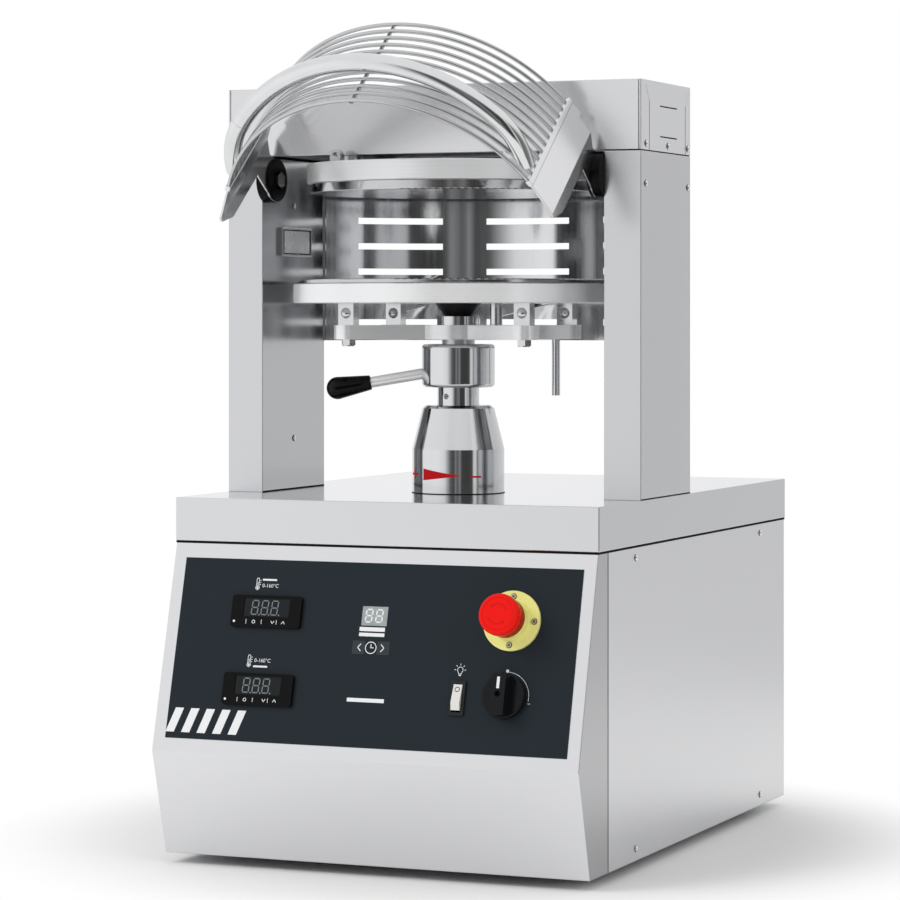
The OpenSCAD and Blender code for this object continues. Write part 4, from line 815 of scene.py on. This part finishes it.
grip = [(0, neck + 1.5), (6.1, neck + 1.5), (6.4, neck), (7.0, neck), (7.5, neck + 0.6),
        (11.2, crown - 3), (GRIP_R, crown)]
for turn in range(10, 91, 10):
    a = math.radians(turn)
    grip.append((GRIP_R * math.cos(a), crown + GRIP_R * math.sin(a)))
grip_black = moulded("grip_black", (0.002, 0.002, 0.0024), 0.14, 0.16)
bm = bmesh.new()
turned_bar(bm, grip, 48)
lever_grip = make_piece("lever_grip", bm, lever_place, grip_black, "adjuster")
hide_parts("lever_knob")

# Red setting mark painted round the housing: a wedge between a plus and a minus sign.
# The lever is turned towards one or the other for a thicker or thinner base.
HOUSING_R = 47.25
MARK_R = HOUSING_R + 0.16
red_paint, tree, shader = start_finish("red_paint", (0.55, 0.006, 0.009), 0.0, 0.4, 0.12)
tint(tree, shader, speckle(tree, EVEN, 400, 2.0), (0.53, 0.005, 0.008), (0.57, 0.007, 0.01))
housing_low, housing_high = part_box("piston_housing")
axis_y = (housing_low.y + housing_high.y) / 2
house_place = Matrix.Translation((0, axis_y, lid_high.z)) @ Matrix.Scale(MM, 4)


def round_patch(bm, start, end, low, high, tip=None):
    a = math.radians(start - 90)
    edge_verts = [bm.verts.new((MARK_R * math.cos(a), MARK_R * math.sin(a), z)) for z in (low, high)]
    edge = bm.edges.new(edge_verts)
    before = set(bm.verts)
    bmesh.ops.spin(bm, geom=edge_verts + [edge], cent=(0, 0, 0), axis=(0, 0, 1), dvec=(0, 0, 0),
                   angle=math.radians(end - start), steps=max(4, int((end - start) / 2)), use_merge=False)
    if tip is not None:
        for v in [*edge_verts, *(set(bm.verts) - before)]:
            along = (math.degrees(math.atan2(v.co.y, v.co.x)) + 90 - start) / (end - start)
            v.co.z = tip + (v.co.z - tip) * max(1 - along, 0.02)


bm = bmesh.new()
round_patch(bm, -26.0, 26.0, 13.8, 25.9, tip=18.8)
round_patch(bm, -57.0, -37.0, 18.6, 20.8)
round_patch(bm, -48.6, -45.4, 13.8, 25.4)
round_patch(bm, 37.0, 52.0, 17.0, 18.8)
bmesh.ops.recalc_face_normals(bm, faces=bm.faces)
bmesh.ops.solidify(bm, geom=bm.faces, thickness=0.1)
make_piece("setting_mark", bm, house_place, red_paint, "base")

# Bead of sealant where the housing stands on the lid, to keep flour out of the drive.
# The same black compound as round the columns, smoothed off to a low fillet.
bm = bmesh.new()
turned_ring(bm, [(47.0, 0.02), (47.9, 0.02), (47.6, 0.7), (47.0, 0.9)], 64)
make_piece("housing_seam_shade", bm, house_place, gasket_and_gap_shade, "base")

# Swing-up guard: bent steel wires and a tube handle, polished bright, welded between satin cheeks.
# It hangs on shoulder bolts in black friction discs. A thin black washer inside each lug is painted shade
# and reflection between lug and column.
LUG_INNER_X = 174.95
bright_wire = polished_steel("bright_wire", (0.74, 0.745, 0.75), 0.07, 0.12, (60, 60, 60))
coat_nodes(bright_wire, "guard_handle", "guard_pivot_bolts")
drawn_wire = polished_steel("drawn_wire", (0.56, 0.565, 0.57), 0.06, 0.1, (60, 60, 60))
coat_nodes(drawn_wire, "guard_bars")
cheek_steel = brushed_steel("cheek_steel", (0.78, 0.782, 0.786), 0.2, 0.22, (1, 8, 900), (8, 8, 900))
coat_nodes(cheek_steel, "guard_cheek_left", "guard_cheek_right")
disc_black = moulded("disc_black", (0.002, 0.002, 0.0025), 0.26, 0.08)
coat_nodes(disc_black, "guard_friction_discs")
discs_low, discs_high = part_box("guard_friction_discs")
pivot = (discs_low + discs_high) / 2
# Black washers inside the lugs: painted shade and reflection between the lugs and the columns.
bm = bmesh.new()
turned_ring(bm, [(10.7, 0), (21.2, 0), (22.0, 0.8), (22.0, 2.0), (21.2, 2.6), (10.7, 2.6)], 48)
bmesh.ops.rotate(bm, cent=(0, 0, 0), matrix=Matrix.Rotation(math.radians(-90), 3, "Y"), verts=bm.verts)
bmesh.ops.translate(bm, vec=(LUG_INNER_X, 0, 0), verts=bm.verts)
whole = list(bm.verts) + list(bm.edges) + list(bm.faces)
bmesh.ops.mirror(bm, geom=whole, axis="X", merge_dist=0.001)
washer_place = Matrix.Translation((0, pivot.y, pivot.z)) @ Matrix.Scale(MM, 4)
make_piece("guard_inner_shade_washers", bm, washer_place, disc_black, "guard")

# Camera on the photograph's line: level, standing to the machine's right, with a long lens.
# The shift lowers the frame without tilting the camera, so the upright edges stay parallel.
eye = bpy.data.cameras.new("camera")
eye.lens = 134.717
eye.sensor_width = 36
eye.shift_y = -0.1521
camera = bpy.data.objects.new("camera", eye)
camera.location = (1.3268, (lid_low.y + lid_high.y) / 2 - 3.2954, fascia_low.z + 0.5348)
camera.rotation_euler = (math.radians(90), 0, math.radians(22.723))
bpy.context.scene.collection.objects.link(camera)
bpy.context.scene.camera = camera

# Plain pale floor that the machine stands on, like a sheet of matt paper.
# It keeps the shadow near the machine and fades to the white backdrop further out.
FLOOR_HALF = 1.3
FADE_START, FADE_END = 0.3, 0.55


def mix_shaders(tree, share, first, second):
    mix = add_node(tree, "ShaderNodeMixShader")
    tree.links.new(share, mix.inputs["Fac"])
    tree.links.new(first, mix.inputs[1])
    tree.links.new(second, mix.inputs[2])
    return mix.outputs["Shader"]


floor_finish, tree, shader = start_finish("floor_paper", (0.93, 0.93, 0.93), 0.0, 0.8, 0.2)
white = add_node(tree, "ShaderNodeEmission", Strength=1.0)
coords = add_node(tree, "ShaderNodeTexCoord")
reach = add_node(tree, "ShaderNodeVectorMath", operation="LENGTH")
fade = add_node(tree, "ShaderNodeMapRange", interpolation_type="SMOOTHSTEP")
fade.inputs["From Min"].default_value = FADE_START
fade.inputs["From Max"].default_value = FADE_END
tree.links.new(coords.outputs["Object"], reach.inputs[0])
tree.links.new(reach.outputs["Value"], fade.inputs["Value"])
surface = mix_shaders(tree, fade.outputs["Result"], shader.outputs["BSDF"], white.outputs["Emission"])
tree.links.new(surface, tree.nodes["Material Output"].inputs["Surface"])
bm = bmesh.new()
bmesh.ops.create_grid(bm, x_segments=1, y_segments=1, size=FLOOR_HALF)
mesh = bpy.data.meshes.new("floor")
bm.to_mesh(mesh)
bm.free()
mesh.materials.append(floor_finish)
floor = bpy.data.objects.new("floor", mesh)
floor.location.z = cad_box[0].z - 0.0005
bpy.context.scene.collection.objects.link(floor)

# Studio round the machine: a white backdrop for the camera, and for reflections a ring of soft boxes
# with the darker room between them behind the camera. The ring's tones go by the bearing in degrees
# from straight ahead of the machine, and turn into a pale ceiling higher up.
RING_TONES = (
    (-180, 0.78), (-157, 0.94), (-140, 0.9), (-110, 0.95), (-78, 1.05), (-30, 1.05),
    (-12, 0.9), (-5, 0.5), (3, 0.12), (13, 0.07), (16, 0.35), (19, 0.08),
    (27, 0.3), (30, 0.06), (46, 0.05), (58, 0.07), (61, 0.8), (67, 0.8),
    (71, 0.2), (96, 0.2), (112, 0.28), (122, 0.6), (150, 0.75), (180, 0.8),
)
CEILING_START, CEILING_END = 0.2, 0.45
CEILING_TONE = (0.95, 0.95, 0.96, 1)
AMBIENT = 0.66
world = bpy.data.worlds.new("studio")
world.use_nodes = True
bpy.context.scene.world = world
tree = world.node_tree
tree.nodes.clear()
coords = add_node(tree, "ShaderNodeTexCoord")
parts = add_node(tree, "ShaderNodeSeparateXYZ")
tree.links.new(coords.outputs["Generated"], parts.inputs["Vector"])
ahead = add_node(tree, "ShaderNodeMath", operation="MULTIPLY")
ahead.inputs[1].default_value = -1
tree.links.new(parts.outputs["Y"], ahead.inputs[0])
bearing = add_node(tree, "ShaderNodeMath", operation="ARCTAN2")
tree.links.new(parts.outputs["X"], bearing.inputs[0])
tree.links.new(ahead.outputs["Value"], bearing.inputs[1])
ring = add_node(tree, "ShaderNodeValToRGB")
stops = ring.color_ramp.elements
while len(stops) < len(RING_TONES):
    stops.new(0.5)
for stop, (degrees, tone) in zip(stops, RING_TONES):
    stop.position = (degrees + 180) / 360
    stop.color = (tone, tone, tone * 1.01, 1)
tree.links.new(spread(tree, bearing.outputs["Value"], 0, 1, -math.pi, math.pi), ring.inputs["Fac"])
dome = add_node(tree, "ShaderNodeMix", data_type="RGBA")
dome.inputs[7].default_value = CEILING_TONE
tree.links.new(spread(tree, parts.outputs["Z"], 0, 1, CEILING_START, CEILING_END), dome.inputs[0])
tree.links.new(ring.outputs["Color"], dome.inputs[6])
rays = add_node(tree, "ShaderNodeLightPath")
mirrored = add_node(tree, "ShaderNodeBackground", Strength=1.0)
tree.links.new(dome.outputs[2], mirrored.inputs["Color"])
ambient = add_node(tree, "ShaderNodeBackground", Strength=AMBIENT, Color=(1, 1, 1, 1))
backdrop = add_node(tree, "ShaderNodeBackground", Strength=1.0, Color=(1, 1, 1, 1))
metal = mix_shaders(tree, rays.outputs["Is Glossy Ray"],
                    ambient.outputs["Background"], mirrored.outputs["Background"])
glass = mix_shaders(tree, rays.outputs["Is Transmission Ray"], metal, backdrop.outputs["Background"])
plain = mix_shaders(tree, rays.outputs["Is Camera Ray"], glass, backdrop.outputs["Background"])
output = add_node(tree, "ShaderNodeOutputWorld")
tree.links.new(plain, output.inputs["Surface"])

# Two soft lamps: a large one high on the left, and a weaker one on the right to open the shadows.
# Neither shows in the metal, whose reflections come from the studio's ring alone.
LAMP_AIM = Vector((0, 0, 0.4))
LAMPS = (
    ("key_lamp", (-1.9, -2.3, 2.3), 1.6, 40),
    ("fill_lamp", (2.6, -1.4, 1.6), 1.2, 8),
)
for name, place, size, power in LAMPS:
    lamp = bpy.data.lights.new(name, "AREA")
    lamp.size = size
    lamp.energy = power
    holder = bpy.data.objects.new(name, lamp)
    holder.location = place
    holder.visible_glossy = False
    holder.rotation_euler = (LAMP_AIM - Vector(place)).to_track_quat("-Z", "Y").to_euler()
    bpy.context.scene.collection.objects.link(holder)

bpy.context.scene.view_settings.view_transform = "Standard"
